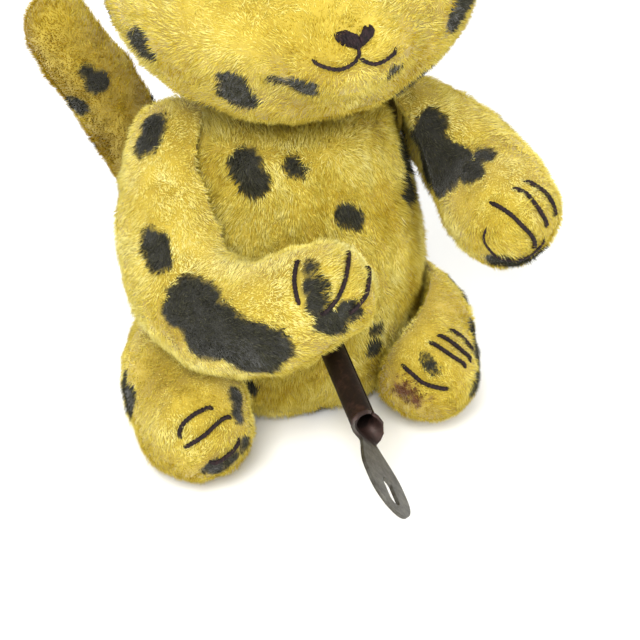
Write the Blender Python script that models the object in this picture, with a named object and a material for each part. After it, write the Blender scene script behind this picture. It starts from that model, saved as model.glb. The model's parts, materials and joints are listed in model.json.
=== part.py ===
"""Seated wind-up plush leopard: soft covers over a clockwork that swings the two arms in turn.

Every size is in millimetres until a mesh is made, +Z is up, the face and the key look along -Y,
and the origin is the middle of the seat panel, on the surface the toy sits on.
The toy's own right side is -X.
"""
import math

import bmesh
import bpy
from mathutils import Matrix, Vector

MM = 0.001
GAP = 0.3                       # left between pieces that touch in the real toy

# --- soft body -----------------------------------------------------------------------------
SEAT_RADIUS = 24.0
SEAT_THICK = 2.0
TORSO_WALL = 5.0                # plush, backing and wadding together
# height, half width, half depth of the torso, from the seat up to the neck
TORSO_PROFILE = ((0.3, 26.5, 25.5), (4.0, 34.0, 33.0), (13.0, 39.5, 39.0), (27.0, 42.5, 42.5),
                 (45.0, 43.5, 43.5), (62.0, 42.5, 41.5), (78.0, 39.5, 37.0), (91.0, 35.2, 32.5),
                 (98.5, 31.0, 28.5), (103.5, 21.0, 20.0))
NECK_HOLE = 3.2
NECK_ROLL = 4.5                 # how far the gathered edge of the cloth turns down into the neck
KEY_HOLE_GAP = 1.4              # all round the key's tube
TORSO_SIDES = 32
TORSO_SQUARENESS = 2.3          # 2 is an ellipse; the chest is a little fuller at its corners

# --- limbs: centre line and radius ---------------------------------------------------------
SHOULDER_Y = 0.0
SHOULDER_Z = 92.0
SHOULDER_FACE = 35.6            # inner face of an upper arm
SHOULDER_DISC_RADIUS = 8.0
SHOULDER_DISC_DEPTHS = (1.8, 0.3)   # its two faces, in from the arm's inner face
SHOULDER_SEAT_DEPTH = 2.1       # flat cut into the torso for the disc
ARM_SHAFT_RADIUS = 1.5
ARM_SHAFT_BORE = 1.9
ARM_SHAFT_SPAN = (15.8, 48.0)   # distance of its ends from the middle of the toy
ARM_LEVER_SPAN = (16.4, 17.6)
LEVER_HUB, LEVER_TIP = 3.2, 2.6     # radii of the lever's two ends
LINK_HOLE = 1.3                 # where a wire link passes through sheet
LINK_RADIUS = 0.6
ARM_SWING = 20.0                # degrees that each arm travels
ARM_CLEARANCE = 1.0             # between an arm and what it swings past
ARM_RIGHT_ROUTE = ((-34, 0, 91, 16.0), (-38, -11, 78, 18.5), (-41, -34, 60, 19.0),
                   (-26, -53, 59, 18.5), (-6, -60, 69, 17.0))
ARM_LEFT_ROUTE = ((34, -2, 90, 17.0), (45, -8, 83, 19.0), (56, -19, 77, 18.5), (57, -41, 74, 18.5))
LEG_RIGHT_ROUTE = ((-29, 4, 22, 19.5), (-41, -22, 22, 20.5), (-43, -48, 19.5, 18.5))
LEG_LEFT_ROUTE = ((29, 4, 22, 19.5), (36, -18, 22, 20.5), (34, -42, 19.5, 18.0))
TAIL_ROUTE = ((0, 37, 19, 13.0), (-17, 58, 26, 13.0), (-32, 62, 49, 13.0), (-43, 58, 76, 13.5),
              (-60, 53, 109, 12.5))

# --- head ----------------------------------------------------------------------------------
HEAD_CENTRE = (0.0, -10.0, 154.5)
HEAD_RADII = (57.0, 53.0, 50.0)
MUZZLE_CENTRE = (0.0, -52.0, 147.0)
MUZZLE_RADII = (25.0, 20.0, 17.5)
HEAD_BASE_Z = 105.4
NECK_DISC_RADIUS = 14.0
NECK_LOWER_RADIUS = 11.5
NECK_LOWER_Z = TORSO_PROFILE[-1][0] - 7.5
DISC_THICK = 1.4
NECK_PIN_RADIUS = 1.5
NECK_PIN_BORE = 1.9
EYE_X, EYE_Y, EYE_Z = 21.0, -55.5, 171.0
EYE_RADII = (5.5, 4.5, 5.5)
NOSE_CENTRE = (0.0, -70.0, 157.0)
NOSE_RADII = (7.0, 4.0, 4.5)
EAR_X, EAR_Y, EAR_Z = 37.0, -4.0, 197.0
EAR_RADII = (17.0, 8.0, 17.0)

# --- clockwork: its own frame has +Y along the arbors and leans with the key ---------------
KEY_LEAN = math.radians(9.0)
MOTOR_CENTRE = (0.0, -2.0, 47.8)
FRONT_PLATE_Y = (-12.0, -11.0)
BACK_PLATE_Y = (13.0, 14.0)
PLATE_HALF_WIDTH = 20.0
PLATE_LOW, PLATE_HIGH = -24.0, 27.0
PILLAR_INSET = 4.0              # from the edges of the plates
PILLAR_RADIUS, PILLAR_END_RADIUS = 2.2, 1.0
SHEET_HOLE = 1.3                # for pillar ends, the rocker's stud and the fly arbor
ARBOR_RADIUS = 2.2
SECOND_ARBOR_RADIUS = 1.2
FLY_ARBOR_RADIUS = 1.0
BACKLASH = 0.15                 # added to each centre distance
GREAT_TEETH, PINION_TEETH, GREAT_MODULE = 50, 10, 0.6
SECOND_TEETH, FLY_PINION_TEETH, SECOND_MODULE = 40, 8, 0.5
CRANK_ARBOR_Z = (GREAT_TEETH + PINION_TEETH) * GREAT_MODULE / 2 + BACKLASH
FLY_DISTANCE = (SECOND_TEETH + FLY_PINION_TEETH) * SECOND_MODULE / 2 + BACKLASH
FLY_ANGLE = math.radians(-20.0)
CLICK_PLACE = (9.0, 6.0)        # x and z of the click's screw on the great wheel
RATCHET_TEETH, RATCHET_TIP, RATCHET_ROOT = 12, 6.0, 4.9
RATCHET_DEPTH = (-10.2, -9.2)
SPRING_TURNS, SPRING_INNER, SPRING_OUTER, SPRING_STRIP = 3.5, 3.6, 13.2, 0.5
SPRING_STEPS = 56
BRACKET_HALF, BRACKET_TOP, BRACKET_SHEET = 24.0, 48.0, 1.2
CRANK_THROW = 2.0
CRANK_RADIUS = 4.6
ROCKER_PIVOT_Z = 33.0
ROCKER_HALF = 17.0
ROCKER_TILT = math.asin(CRANK_THROW / (ROCKER_PIVOT_Z - CRANK_ARBOR_Z))
LEVER_LENGTH = ROCKER_HALF * math.sin(ROCKER_TILT) / math.sin(math.radians(ARM_SWING / 2))

# --- winding key: one strip of sheet, rolled to a tube at one end and left flat at the other
KEY_TURN = math.radians(50.0)
KEY_SHEET = 1.1
KEY_TUBE_RADIUS = 3.4           # middle of the sheet
KEY_START = 40.0                # along the arbor, from the middle of the clockwork
KEY_TUBE_LENGTH = 38.0
KEY_NECK_LENGTH = 9.0
KEY_BOW_LENGTH = 28.0
KEY_NECK_HALF = 4.2
KEY_BOW_HALF = 9.0
KEY_BOW_DROP = 1.2              # the flat bow lies this far off the arbor's axis
KEY_SLOT = (19.0, 2.3, 5.2)     # middle along the bow, half width, half length


# --- finishes ------------------------------------------------------------------------------
def finish(name, colour, roughness, metallic=0.0):
    """One Principled material."""
    made = bpy.data.materials.new(name)
    made.use_nodes = True
    shader = made.node_tree.nodes["Principled BSDF"]
    shader.inputs["Base Color"].default_value = (*colour, 1.0)
    shader.inputs["Roughness"].default_value = roughness
    shader.inputs["Metallic"].default_value = metallic
    made.diffuse_color = (*colour, 1.0)
    return made


FINISHES = {
    "plush": ((0.62, 0.47, 0.08), 0.95, 0.0),
    "seat_cloth": ((0.50, 0.38, 0.08), 0.95, 0.0),
    "glass_eye": ((0.03, 0.02, 0.01), 0.1, 0.0),
    "nose_thread": ((0.03, 0.02, 0.015), 0.7, 0.0),
    "fibre_board": ((0.35, 0.22, 0.12), 0.9, 0.0),
    "patinated_steel": ((0.10, 0.06, 0.05), 0.5, 0.8),
    "tinplate": ((0.60, 0.60, 0.58), 0.35, 1.0),
    "wheel_brass": ((0.72, 0.53, 0.22), 0.35, 1.0),
    "arbor_steel": ((0.50, 0.50, 0.52), 0.3, 1.0),
    "spring_steel": ((0.20, 0.22, 0.28), 0.3, 1.0),
}


# --- building blocks -----------------------------------------------------------------------
def empty(name, place, parent=None, lean=0.0):
    """A guide that pieces hang from, with its origin on their axis."""
    guide = bpy.data.objects.new(name, None)
    guide.empty_display_size = 5 * MM
    guide.location = Vector(place) * MM
    guide.rotation_euler = (lean, 0, 0)
    guide.parent = parent
    bpy.context.collection.objects.link(guide)
    return guide


def add(name, shape, look, parent=None, tilt=0.0, smooth=40.0):
    """Turn a bmesh in millimetres into a named object; tilt turns it about its own Y."""
    bmesh.ops.scale(shape, vec=(MM, MM, MM), verts=shape.verts)
    bmesh.ops.recalc_face_normals(shape, faces=shape.faces)
    mesh = bpy.data.meshes.new(name)
    shape.to_mesh(mesh)
    shape.free()
    mesh.shade_smooth()
    mesh.set_sharp_from_angle(angle=math.radians(smooth))
    piece = bpy.data.objects.new(name, mesh)
    if look is not None:
        mesh.materials.append(look)
    piece.parent = parent
    piece.rotation_euler = (0, tilt, 0)
    bpy.context.collection.objects.link(piece)
    return piece


def guide_shape(piece):
    """Mark a cutter or a part of a union so that it isn't a piece of the toy."""
    piece.hide_render = True
    piece.display_type = "WIRE"
    return piece


def combine(piece, others, operation="DIFFERENCE", tangled=False):
    """Cut the piece with each of the others, or join them; tangled if its skin folds into itself."""
    for other in others:
        step = piece.modifiers.new(operation.lower(), "BOOLEAN")
        step.operation = operation
        step.object = other
        step.use_self = tangled


def smooth_through(points, steps):
    """A Catmull-Rom curve through tuples of any length, with that many steps to a span."""
    knots = [Vector(point) for point in points]
    knots.insert(0, 2 * knots[0] - knots[1])
    knots.append(2 * knots[-1] - knots[-2])
    line = []
    for before, start, end, after in zip(knots, knots[1:], knots[2:], knots[3:]):
        for step in range(steps):
            t = step / steps
            line.append(0.5 * (2 * start + (end - before) * t
                               + (2 * before - 5 * start + 4 * end - after) * t * t
                               + (3 * start - before - 3 * end + after) * t ** 3))
    line.append(knots[-2])
    return line


def ring(centre, first, second, sides, squareness=2.0):
    """Points round an ellipse whose half axes are two vectors; past 2 it is fuller between them."""
    def fuller(value):
        return math.copysign(abs(value) ** (2 / squareness), value)

    turns = [2 * math.pi * side / sides for side in range(sides)]
    return [centre + first * fuller(math.cos(turn)) + second * fuller(math.sin(turn))
            for turn in turns]


def skin(rings, ends="caps"):
    """Join equal rings into one closed skin. ends is caps, poles (single points) or loop."""
    shape = bmesh.new()
    rows = [[shape.verts.new(point) for point in points] for points in rings]
    pairs = list(zip(rows, rows[1:]))
    if ends == "loop":
        pairs.append((rows[-1], rows[0]))
    for low, high in pairs:
        many = max(len(low), len(high))
        for index in range(many):
            after = (index + 1) % many
            corners = ([low[0]] if len(low) == 1 else [low[index], low[after]])
            corners += ([high[0]] if len(high) == 1 else [high[after], high[index]])
            shape.faces.new(corners)
    if ends == "caps":
        shape.faces.new(rows[0])
        shape.faces.new(rows[-1])
    return shape


def limb(route, sides, steps=4, round_steps=3):
    """A stuffed tube round a centre line, closed by a half ball at each end."""
    line = smooth_through(route, steps)
    places = [point.to_3d() for point in line]
    radii = [point[3] for point in line]
    ways = [(after - before).normalized()
            for before, after in zip([places[0]] + places, places[1:] + [places[-1]])]
    across = ways[0].orthogonal().normalized()
    rings = []
    for place, radius, way in zip(places, radii, ways):
        across = (across - way * across.dot(way)).normalized()
        rings.append(ring(place, across * radius, way.cross(across) * radius, sides))
    caps = []
    for place, radius, way, points in ((places[0], radii[0], -ways[0], rings[0]),
                                       (places[-1], radii[-1], ways[-1], rings[-1])):
        cap = []
        for step in range(1, round_steps):
            angle = math.pi / 2 * step / round_steps
            cap.append([place + (point - place) * math.cos(angle) + way * radius * math.sin(angle)
                        for point in points])
        cap.append([place + way * radius])
        caps.append(cap)
    return skin(caps[0][::-1] + rings + caps[1], "poles")


def ball(centre, radii, sides=24, rows=14):
    """An ellipsoid standing on its pole."""
    middle = Vector(centre)
    rings = [[middle - Vector((0, 0, radii[2]))]]
    for row in range(1, rows):
        angle = math.pi * row / rows
        level = middle - Vector((0, 0, radii[2] * math.cos(angle)))
        rings.append(ring(level, Vector((radii[0] * math.sin(angle), 0, 0)),
                          Vector((0, radii[1] * math.sin(angle), 0)), sides))
    rings.append([middle + Vector((0, 0, radii[2]))])
    return skin(rings, "poles")


def rod(start, end, radius, sides=16):
    """A plain round bar between two points."""
    low, high = Vector(start), Vector(end)
    way = (high - low).normalized()
    across = way.orthogonal().normalized() * radius
    return skin([ring(low, across, way.cross(across), sides),
                 ring(high, across, way.cross(across), sides)])


def circle(radius, sides, centre=(0.0, 0.0), start=0.0, end=2 * math.pi):
    """Points (x, z) of a full circle, or of an arc that keeps both its ends."""
    whole = abs(end - start - 2 * math.pi) < 1e-6
    count = sides if whole else sides + 1
    turns = [start + (end - start) * step / sides for step in range(count)]
    return [(centre[0] + radius * math.cos(turn), centre[1] + radius * math.sin(turn))
            for turn in turns]


def plate(outline, low, high, holes=()):
    """A flat piece: an outline (x, z) with holes, from low to high along Y."""
    shape = bmesh.new()
    for points in (outline, *holes):
        corners = [shape.verts.new((x, low, z)) for x, z in points]
        for corner, after in zip(corners, corners[1:] + corners[:1]):
            shape.edges.new((corner, after))
    bmesh.ops.triangle_fill(shape, use_beauty=True, use_dissolve=False, edges=shape.edges[:])
    grown = bmesh.ops.extrude_face_region(shape, geom=shape.faces[:])["geom"]
    moved = [item for item in grown if isinstance(item, bmesh.types.BMVert)]
    bmesh.ops.translate(shape, vec=(0, high - low, 0), verts=moved)
    return shape


def block(low, high):
    """A box between two corners."""
    shape = bmesh.new()
    bmesh.ops.create_cube(shape, size=1.0)
    size = [b - a for a, b in zip(low, high)]
    bmesh.ops.scale(shape, vec=size, verts=shape.verts)
    bmesh.ops.translate(shape, vec=[(a + b) / 2 for a, b in zip(low, high)], verts=shape.verts)
    return shape


def toothed(teeth, module, turn):
    """Outline of a gear with straight-sided teeth, one tooth centred on the angle turn."""
    pitch = 2 * math.pi / teeth
    root = module * (teeth / 2 - 1.2)
    tip = module * (teeth / 2 + 0.9)
    points = []
    for tooth in range(teeth):
        middle = turn + tooth * pitch
        for radius, share in ((root, -0.30), (tip, -0.11), (tip, 0.11), (root, 0.30)):
            angle = middle + share * pitch
            points.append((radius * math.cos(angle), radius * math.sin(angle)))
    return points


# --- soft pieces ---------------------------------------------------------------------------
def torso_rings(grow, steps):
    """Rings of the torso's outside, moved outwards by grow."""
    levels = smooth_through(TORSO_PROFILE, steps)
    return [ring(Vector((0, 0, level[0])), Vector((level[1] + grow, 0, 0)),
                 Vector((0, level[2] + grow, 0)), TORSO_SIDES, TORSO_SQUARENESS)
            for level in levels]


def swung_cutter(name, shape, swing):
    """A solid cutter turned about the shoulder axis by swing degrees; positive is downwards."""
    cutter = guide_shape(add(name, shape, None))
    axis = Matrix.Translation(Vector((0, SHOULDER_Y, SHOULDER_Z)) * MM)
    cutter.matrix_world = axis @ Matrix.Rotation(math.radians(swing), 4, "X") @ axis.inverted()
    return cutter


def torso_envelope(name, grow, swing=0.0):
    """The torso's outside as a solid cutter."""
    return swung_cutter(name, skin(torso_rings(grow, 1)), swing)


def arm_envelope(name, route, swing):
    """Where an arm goes, a little fatter than the arm, as a solid cutter."""
    fat = [(x, y, z, radius + ARM_CLEARANCE) for x, y, z, radius in route]
    return swung_cutter(name, limb(fat, 20), swing)


def make_torso(look):
    """The hollow cover: outside up to the neck hole, then the inside back down to the seat."""
    outer = torso_rings(0, 1)
    inside = torso_rings(-TORSO_WALL, 1)[1:-1]
    top_z = TORSO_PROFILE[-1][0]

    def hole(height, radius):
        return ring(Vector((0, 0, height)), Vector((radius, 0, 0)), Vector((0, radius, 0)),
                    TORSO_SIDES)

    rings = outer + [hole(top_z + 2 * GAP, NECK_HOLE), hole(top_z - NECK_ROLL, NECK_HOLE)]
    rings += inside[::-1] + [hole(TORSO_PROFILE[0][0], SEAT_RADIUS + GAP)]
    torso = add("torso_cover", skin(rings, "loop"), look["plush"], smooth=60)
    way = Vector((0, -math.cos(KEY_LEAN), -math.sin(KEY_LEAN)))
    centre = Vector(MOTOR_CENTRE)
    key_hole = rod(centre + way * 30, centre + way * 60, KEY_TUBE_RADIUS + KEY_HOLE_GAP)
    sleeve = rod((-60, SHOULDER_Y, SHOULDER_Z), (60, SHOULDER_Y, SHOULDER_Z), ARM_SHAFT_BORE + GAP)
    cutters = [guide_shape(add("key_hole_cutter", key_hole, None)),
               guide_shape(add("arm_shaft_cutter", sleeve, None))]
    for side, sign in (("right", -1), ("left", 1)):
        seat = rod((sign * (SHOULDER_FACE - SHOULDER_SEAT_DEPTH), SHOULDER_Y, SHOULDER_Z),
                   (sign * 60, SHOULDER_Y, SHOULDER_Z), SHOULDER_DISC_RADIUS + 1)
        cutters.append(guide_shape(add(f"shoulder_seat_cutter_{side}", seat, None)))
    combine(torso, cutters)
    base = plate(circle(SEAT_RADIUS, TORSO_SIDES), 0, SEAT_THICK)
    bmesh.ops.rotate(base, cent=(0, 0, 0), matrix=Matrix.Rotation(math.pi / 2, 3, "X"),
                     verts=base.verts)
    add("seat_panel", base, look["seat_cloth"])


def make_arms(look, axes):
    """Each arm with its board disc, shaft and lever; the arm clears the torso all the way."""
    half = math.radians(ARM_SWING / 2)
    for side, sign, route in (("right", -1, ARM_RIGHT_ROUTE), ("left", 1, ARM_LEFT_ROUTE)):
        axis = axes[side]
        back = Matrix.Translation(-axis.location / MM)

        def in_place(shape):
            bmesh.ops.transform(shape, matrix=back, verts=shape.verts)
            return shape

        arm = add(f"arm_{side}", in_place(limb(route, 20)), look["plush"], axis, smooth=60)
        inner = rod((0, SHOULDER_Y, SHOULDER_Z), (sign * SHOULDER_FACE, SHOULDER_Y, SHOULDER_Z),
                    SHOULDER_DISC_RADIUS + 0.8)
        sleeve = rod((sign * 30, SHOULDER_Y, SHOULDER_Z),
                     (sign * (ARM_SHAFT_SPAN[1] + 0.5), SHOULDER_Y, SHOULDER_Z), ARM_SHAFT_BORE)
        cutters = [guide_shape(add(f"arm_face_cutter_{side}", inner, None)),
                   guide_shape(add(f"arm_bore_cutter_{side}", sleeve, None))]
        for step in range(4):
            swing = -sign * ARM_SWING * step / 3
            cutters.append(torso_envelope(f"torso_clearance_{side}_{step}", ARM_CLEARANCE, swing))
        combine(arm, cutters, tangled=True)

        disc_low, disc_high = sorted(sign * (SHOULDER_FACE - depth) for depth in SHOULDER_DISC_DEPTHS)
        shaft_low, shaft_high = sorted(sign * end for end in ARM_SHAFT_SPAN)
        lever_low, lever_high = sorted(sign * end for end in ARM_LEVER_SPAN)

        def across(outline, low, high, holes=()):
            """A plate in the Y, Z plane about the shoulder axis."""
            shape = plate(outline, low, high, holes)
            turn = Matrix(((0, 1, 0), (1, 0, 0), (0, 0, 1)))
            bmesh.ops.transform(shape, matrix=turn.to_4x4(), verts=shape.verts)
            bmesh.ops.translate(shape, vec=(-axis.location.x / MM, 0, 0), verts=shape.verts)
            return shape

        disc = across(circle(SHOULDER_DISC_RADIUS, 24), disc_low, disc_high,
                      [circle(ARM_SHAFT_RADIUS + GAP, 12)])
        add(f"shoulder_disc_{side}", disc, look["fibre_board"], axis)
        shaft = rod((shaft_low, SHOULDER_Y, SHOULDER_Z), (shaft_high, SHOULDER_Y, SHOULDER_Z),
                    ARM_SHAFT_RADIUS)
        add(f"arm_shaft_{side}", in_place(shaft), look["arbor_steel"], axis)
        # the lever points backwards, up on the arm that is down and down on the other
        tilt = -sign * half
        end = (LEVER_LENGTH * math.cos(tilt), LEVER_LENGTH * math.sin(tilt))
        outline = circle(LEVER_HUB, 10, (0, 0), tilt + math.pi / 2, tilt + 3 * math.pi / 2)
        outline += circle(LEVER_TIP, 8, end, tilt - math.pi / 2, tilt + math.pi / 2)
        lever = across(outline, lever_low, lever_high,
                       [circle(ARM_SHAFT_RADIUS + 0.2, 12), circle(LINK_HOLE, 10, end)])
        add(f"arm_lever_{side}", lever, look["tinplate"], axis)


def make_legs_and_tail(look):
    """Legs and tail sit against the torso, cut to its surface."""
    for name, route, sides in (("leg_right", LEG_RIGHT_ROUTE, 20), ("leg_left", LEG_LEFT_ROUTE, 20),
                               ("tail", TAIL_ROUTE, 16)):
        piece = add(name, limb(route, sides), look["plush"], smooth=60)
        ground = guide_shape(add(f"{name}_ground_cutter",
                                 block((-120, -120, -20), (120, 120, GAP)), None))
        combine(piece, [torso_envelope(f"{name}_torso_cutter", 2 * GAP), ground])
        if name == "leg_right":
            combine(piece, [arm_envelope("leg_right_arm_cutter", ARM_RIGHT_ROUTE, 0.0)], tangled=True)
        if name == "leg_left":
            sweep = [arm_envelope(f"leg_left_arm_cutter_{step}", ARM_LEFT_ROUTE, ARM_SWING * step / 3)
                     for step in range(1, 4)]
            combine(piece, sweep, tangled=True)


def make_head(look, axis):
    """Stuffed head on a disc joint: skull and muzzle joined, ears, eyes and nose set on it."""
    back = Matrix.Translation(-axis.location / MM)

    def on_head(name, shape, finish_name, smooth=60):
        bmesh.ops.transform(shape, matrix=back, verts=shape.verts)
        return add(name, shape, look[finish_name] if finish_name else None, axis, smooth=smooth)

    def grown(radii, amount):
        return [radius + amount for radius in radii]

    head = on_head("head_cover", ball(HEAD_CENTRE, HEAD_RADII, 28, 18), "plush")
    muzzle = guide_shape(on_head("muzzle_shape", ball(MUZZLE_CENTRE, MUZZLE_RADII, 20, 12), None))
    below = guide_shape(on_head("neck_plane_cutter",
                                block((-60, -60, 90), (60, 60, HEAD_BASE_Z)), None))
    disc_z = HEAD_BASE_Z + 1.6
    recess = rod((0, 0, 95), (0, 0, disc_z + DISC_THICK + 0.5), NECK_DISC_RADIUS + 2 * GAP, 24)
    bore = rod((0, 0, 95), (0, 0, disc_z + 7.5), NECK_PIN_BORE)
    combine(head, [muzzle], "UNION")
    combine(head, [below, guide_shape(on_head("neck_recess_cutter", recess, None)),
                   guide_shape(on_head("neck_bore_cutter", bore, None))])

    skull = guide_shape(on_head("skull_clearance",
                                ball(HEAD_CENTRE, grown(HEAD_RADII, 2 * GAP), 28, 18), None))
    snout = guide_shape(on_head("muzzle_clearance",
                                ball(MUZZLE_CENTRE, grown(MUZZLE_RADII, 2 * GAP), 20, 12), None))
    for side, sign in (("right", -1), ("left", 1)):
        ear = on_head(f"ear_{side}", ball((sign * EAR_X, EAR_Y, EAR_Z), EAR_RADII, 18, 10), "plush")
        eye = on_head(f"eye_{side}", ball((sign * EYE_X, EYE_Y, EYE_Z), EYE_RADII, 16, 10),
                      "glass_eye")
        combine(ear, [skull])
        combine(eye, [skull])
    nose = on_head("nose", ball(NOSE_CENTRE, NOSE_RADII, 16, 8), "nose_thread")
    combine(nose, [snout, skull])

    def washer(low, radius):
        """A flat disc about +Z with a hole for the neck pin."""
        high = low + DISC_THICK
        levels = ((low, radius), (high, radius), (high, NECK_PIN_BORE), (low, NECK_PIN_BORE))
        return skin([ring(Vector((0, 0, z)), Vector((r, 0, 0)), Vector((0, r, 0)), 24)
                     for z, r in levels], "loop")

    on_head("neck_disc_upper", washer(disc_z, NECK_DISC_RADIUS), "fibre_board", 30)
    pin = rod((0, 0, NECK_LOWER_Z - 2), (0, 0, disc_z + 7.0), NECK_PIN_RADIUS)
    on_head("neck_pin", pin, "arbor_steel", 30)
    add("neck_disc_lower", washer(NECK_LOWER_Z, NECK_LOWER_RADIUS), look["fibre_board"], smooth=30)


# --- clockwork pieces ----------------------------------------------------------------------
def make_frame(look, motor, places):
    """Two plates on four pillars, with a bracket on top that carries the arm shafts."""
    half = PLATE_HALF_WIDTH
    pillars = [(x, z) for x in (-half + PILLAR_INSET, half - PILLAR_INSET)
               for z in (PLATE_LOW + PILLAR_INSET, PLATE_HIGH - PILLAR_INSET)]
    bearings = [circle(ARBOR_RADIUS + GAP, 14), circle(SECOND_ARBOR_RADIUS + GAP, 12, places["crank"]),
                circle(FLY_ARBOR_RADIUS + GAP, 12, places["fly"])]
    studs = [circle(SHEET_HOLE, 10, place) for place in pillars]
    front = [(-half, PLATE_LOW), (half, PLATE_LOW), (half, PLATE_HIGH), (-half, PLATE_HIGH)]
    top = ROCKER_PIVOT_Z + 4
    tongue = [(half, PLATE_HIGH), (5, PLATE_HIGH), (5, top), (-5, top), (-5, PLATE_HIGH),
              (-half, PLATE_HIGH)]
    add("front_plate", plate(front, *FRONT_PLATE_Y, bearings + studs), look["tinplate"], motor)
    stud_hole = circle(SHEET_HOLE, 10, (0, ROCKER_PIVOT_Z))
    rear = plate(front[:2] + tongue, *BACK_PLATE_Y, bearings + studs + [stud_hole])
    add("back_plate", rear, look["tinplate"], motor)
    shoulders = (FRONT_PLATE_Y[1] + 0.2, BACK_PLATE_Y[0] - 0.2)
    ends = (FRONT_PLATE_Y[0] - 1.4, BACK_PLATE_Y[1] + 1.2)
    levels = ((ends[0], PILLAR_END_RADIUS), (shoulders[0], PILLAR_END_RADIUS),
              (shoulders[0], PILLAR_RADIUS), (shoulders[1], PILLAR_RADIUS),
              (shoulders[1], PILLAR_END_RADIUS), (ends[1], PILLAR_END_RADIUS))
    for number, (x, z) in enumerate(pillars, 1):
        body = skin([ring(Vector((x, y, z)), Vector((radius, 0, 0)), Vector((0, 0, radius)), 12)
                     for y, radius in levels])
        add(f"pillar_{number}", body, look["arbor_steel"], motor, smooth=30)
        for end, low in (("front", FRONT_PLATE_Y[0] - 1.3), ("back", BACK_PLATE_Y[1] + 0.2)):
            nut = plate(circle(2.2, 6, (x, z)), low, low + 1.1,
                        [circle(PILLAR_END_RADIUS + 0.2, 10, (x, z))])
            add(f"pillar_nut_{end}_{number}", nut, look["wheel_brass"], motor, smooth=30)

    side, top, thick = BRACKET_HALF, BRACKET_TOP, BRACKET_SHEET
    low = PLATE_HIGH + 0.4
    outline = [(-side, low), (side, low), (side, top), (side - thick, top),
               (side - thick, low + thick), (-side + thick, low + thick), (-side + thick, top),
               (-side, top)]
    bracket = add("shoulder_bracket", plate(outline, 5.0, 12.7), look["tinplate"], motor)
    bore = rod((-40, SHOULDER_Y, SHOULDER_Z), (40, SHOULDER_Y, SHOULDER_Z), ARM_SHAFT_BORE)
    combine(bracket, [guide_shape(add("bracket_bore_cutter", bore, None))])


def make_winding(look, motor, axis, great_axis):
    """Key, arbor, ratchet wheel and mainspring, with the great wheel and its click."""
    square = [(abs(math.cos(turn)), abs(math.sin(turn)), turn)
              for turn in (2 * math.pi * side / 16 + math.pi / 16 for side in range(16))]

    def section(y, half_side=None):
        points = []
        for cosine, sine, turn in square:
            radius = ARBOR_RADIUS if half_side is None else half_side / max(cosine, sine)
            points.append(Vector((radius * math.cos(turn), y, radius * math.sin(turn))))
        return points

    # a round arbor whose front end is filed square for the key
    arbor = skin([section(15.2), section(-38.0), section(-39.5, 1.8), section(-54.0, 1.8)])
    add("winding_arbor", arbor, look["arbor_steel"], axis, smooth=30)

    saw = []
    for tooth in range(RATCHET_TEETH):
        for radius, share in ((RATCHET_TIP, 0.0), (RATCHET_ROOT, 0.12)):
            angle = (tooth + share) * 2 * math.pi / RATCHET_TEETH
            saw.append((radius * math.cos(angle), radius * math.sin(angle)))
    ratchet = plate(saw, *RATCHET_DEPTH, [circle(ARBOR_RADIUS + 0.2, 14)])
    add("ratchet_wheel", ratchet, look["arbor_steel"], axis)

    coil = []
    for step in range(SPRING_STEPS + 1):
        share = step / SPRING_STEPS
        coil.append((SPRING_INNER + (SPRING_OUTER - SPRING_INNER) * share,
                     2 * math.pi * SPRING_TURNS * share))
    half_strip = SPRING_STRIP / 2
    outside = [((r + half_strip) * math.cos(a), (r + half_strip) * math.sin(a)) for r, a in coil]
    inside = [((r - half_strip) * math.cos(a), (r - half_strip) * math.sin(a)) for r, a in coil]
    add("mainspring", plate(outside + inside[::-1], -6.6, 2.4), look["spring_steel"], motor)

    up = math.pi / 2
    great = plate(toothed(GREAT_TEETH, GREAT_MODULE, up), -8.8, -7.6,
                  [circle(ARBOR_RADIUS + GAP, 14)])
    add("great_wheel", great, look["wheel_brass"], great_axis)
    screw_x, screw_z = CLICK_PLACE
    screw = skin([ring(Vector((screw_x, y, screw_z)), Vector((radius, 0, 0)),
                       Vector((0, 0, radius)), 12)
                  for y, radius in ((-10.8, 1.7), (-10.4, 1.7), (-10.4, 0.9), (-9.0, 0.9))])
    add("click_screw", screw, look["arbor_steel"], great_axis, smooth=30)
    strip = [(12.4, 4.8), (12.9, 4.8), (13.3, -3.0), (12.8, -3.0)]
    add("click_spring", plate(strip, -10.2, -9.0), look["spring_steel"], great_axis)
    click_axis = empty("click_axis", (screw_x, 0, screw_z), great_axis)
    hook = [(-2.55, -5.9), (-1.3, -6.4), (1.9, -0.8)] + circle(2.0, 6, (0, 0), -0.1, math.pi)
    click = plate(hook, *RATCHET_DEPTH, [circle(1.15, 10)])
    add("click", click, look["arbor_steel"], click_axis)


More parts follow.
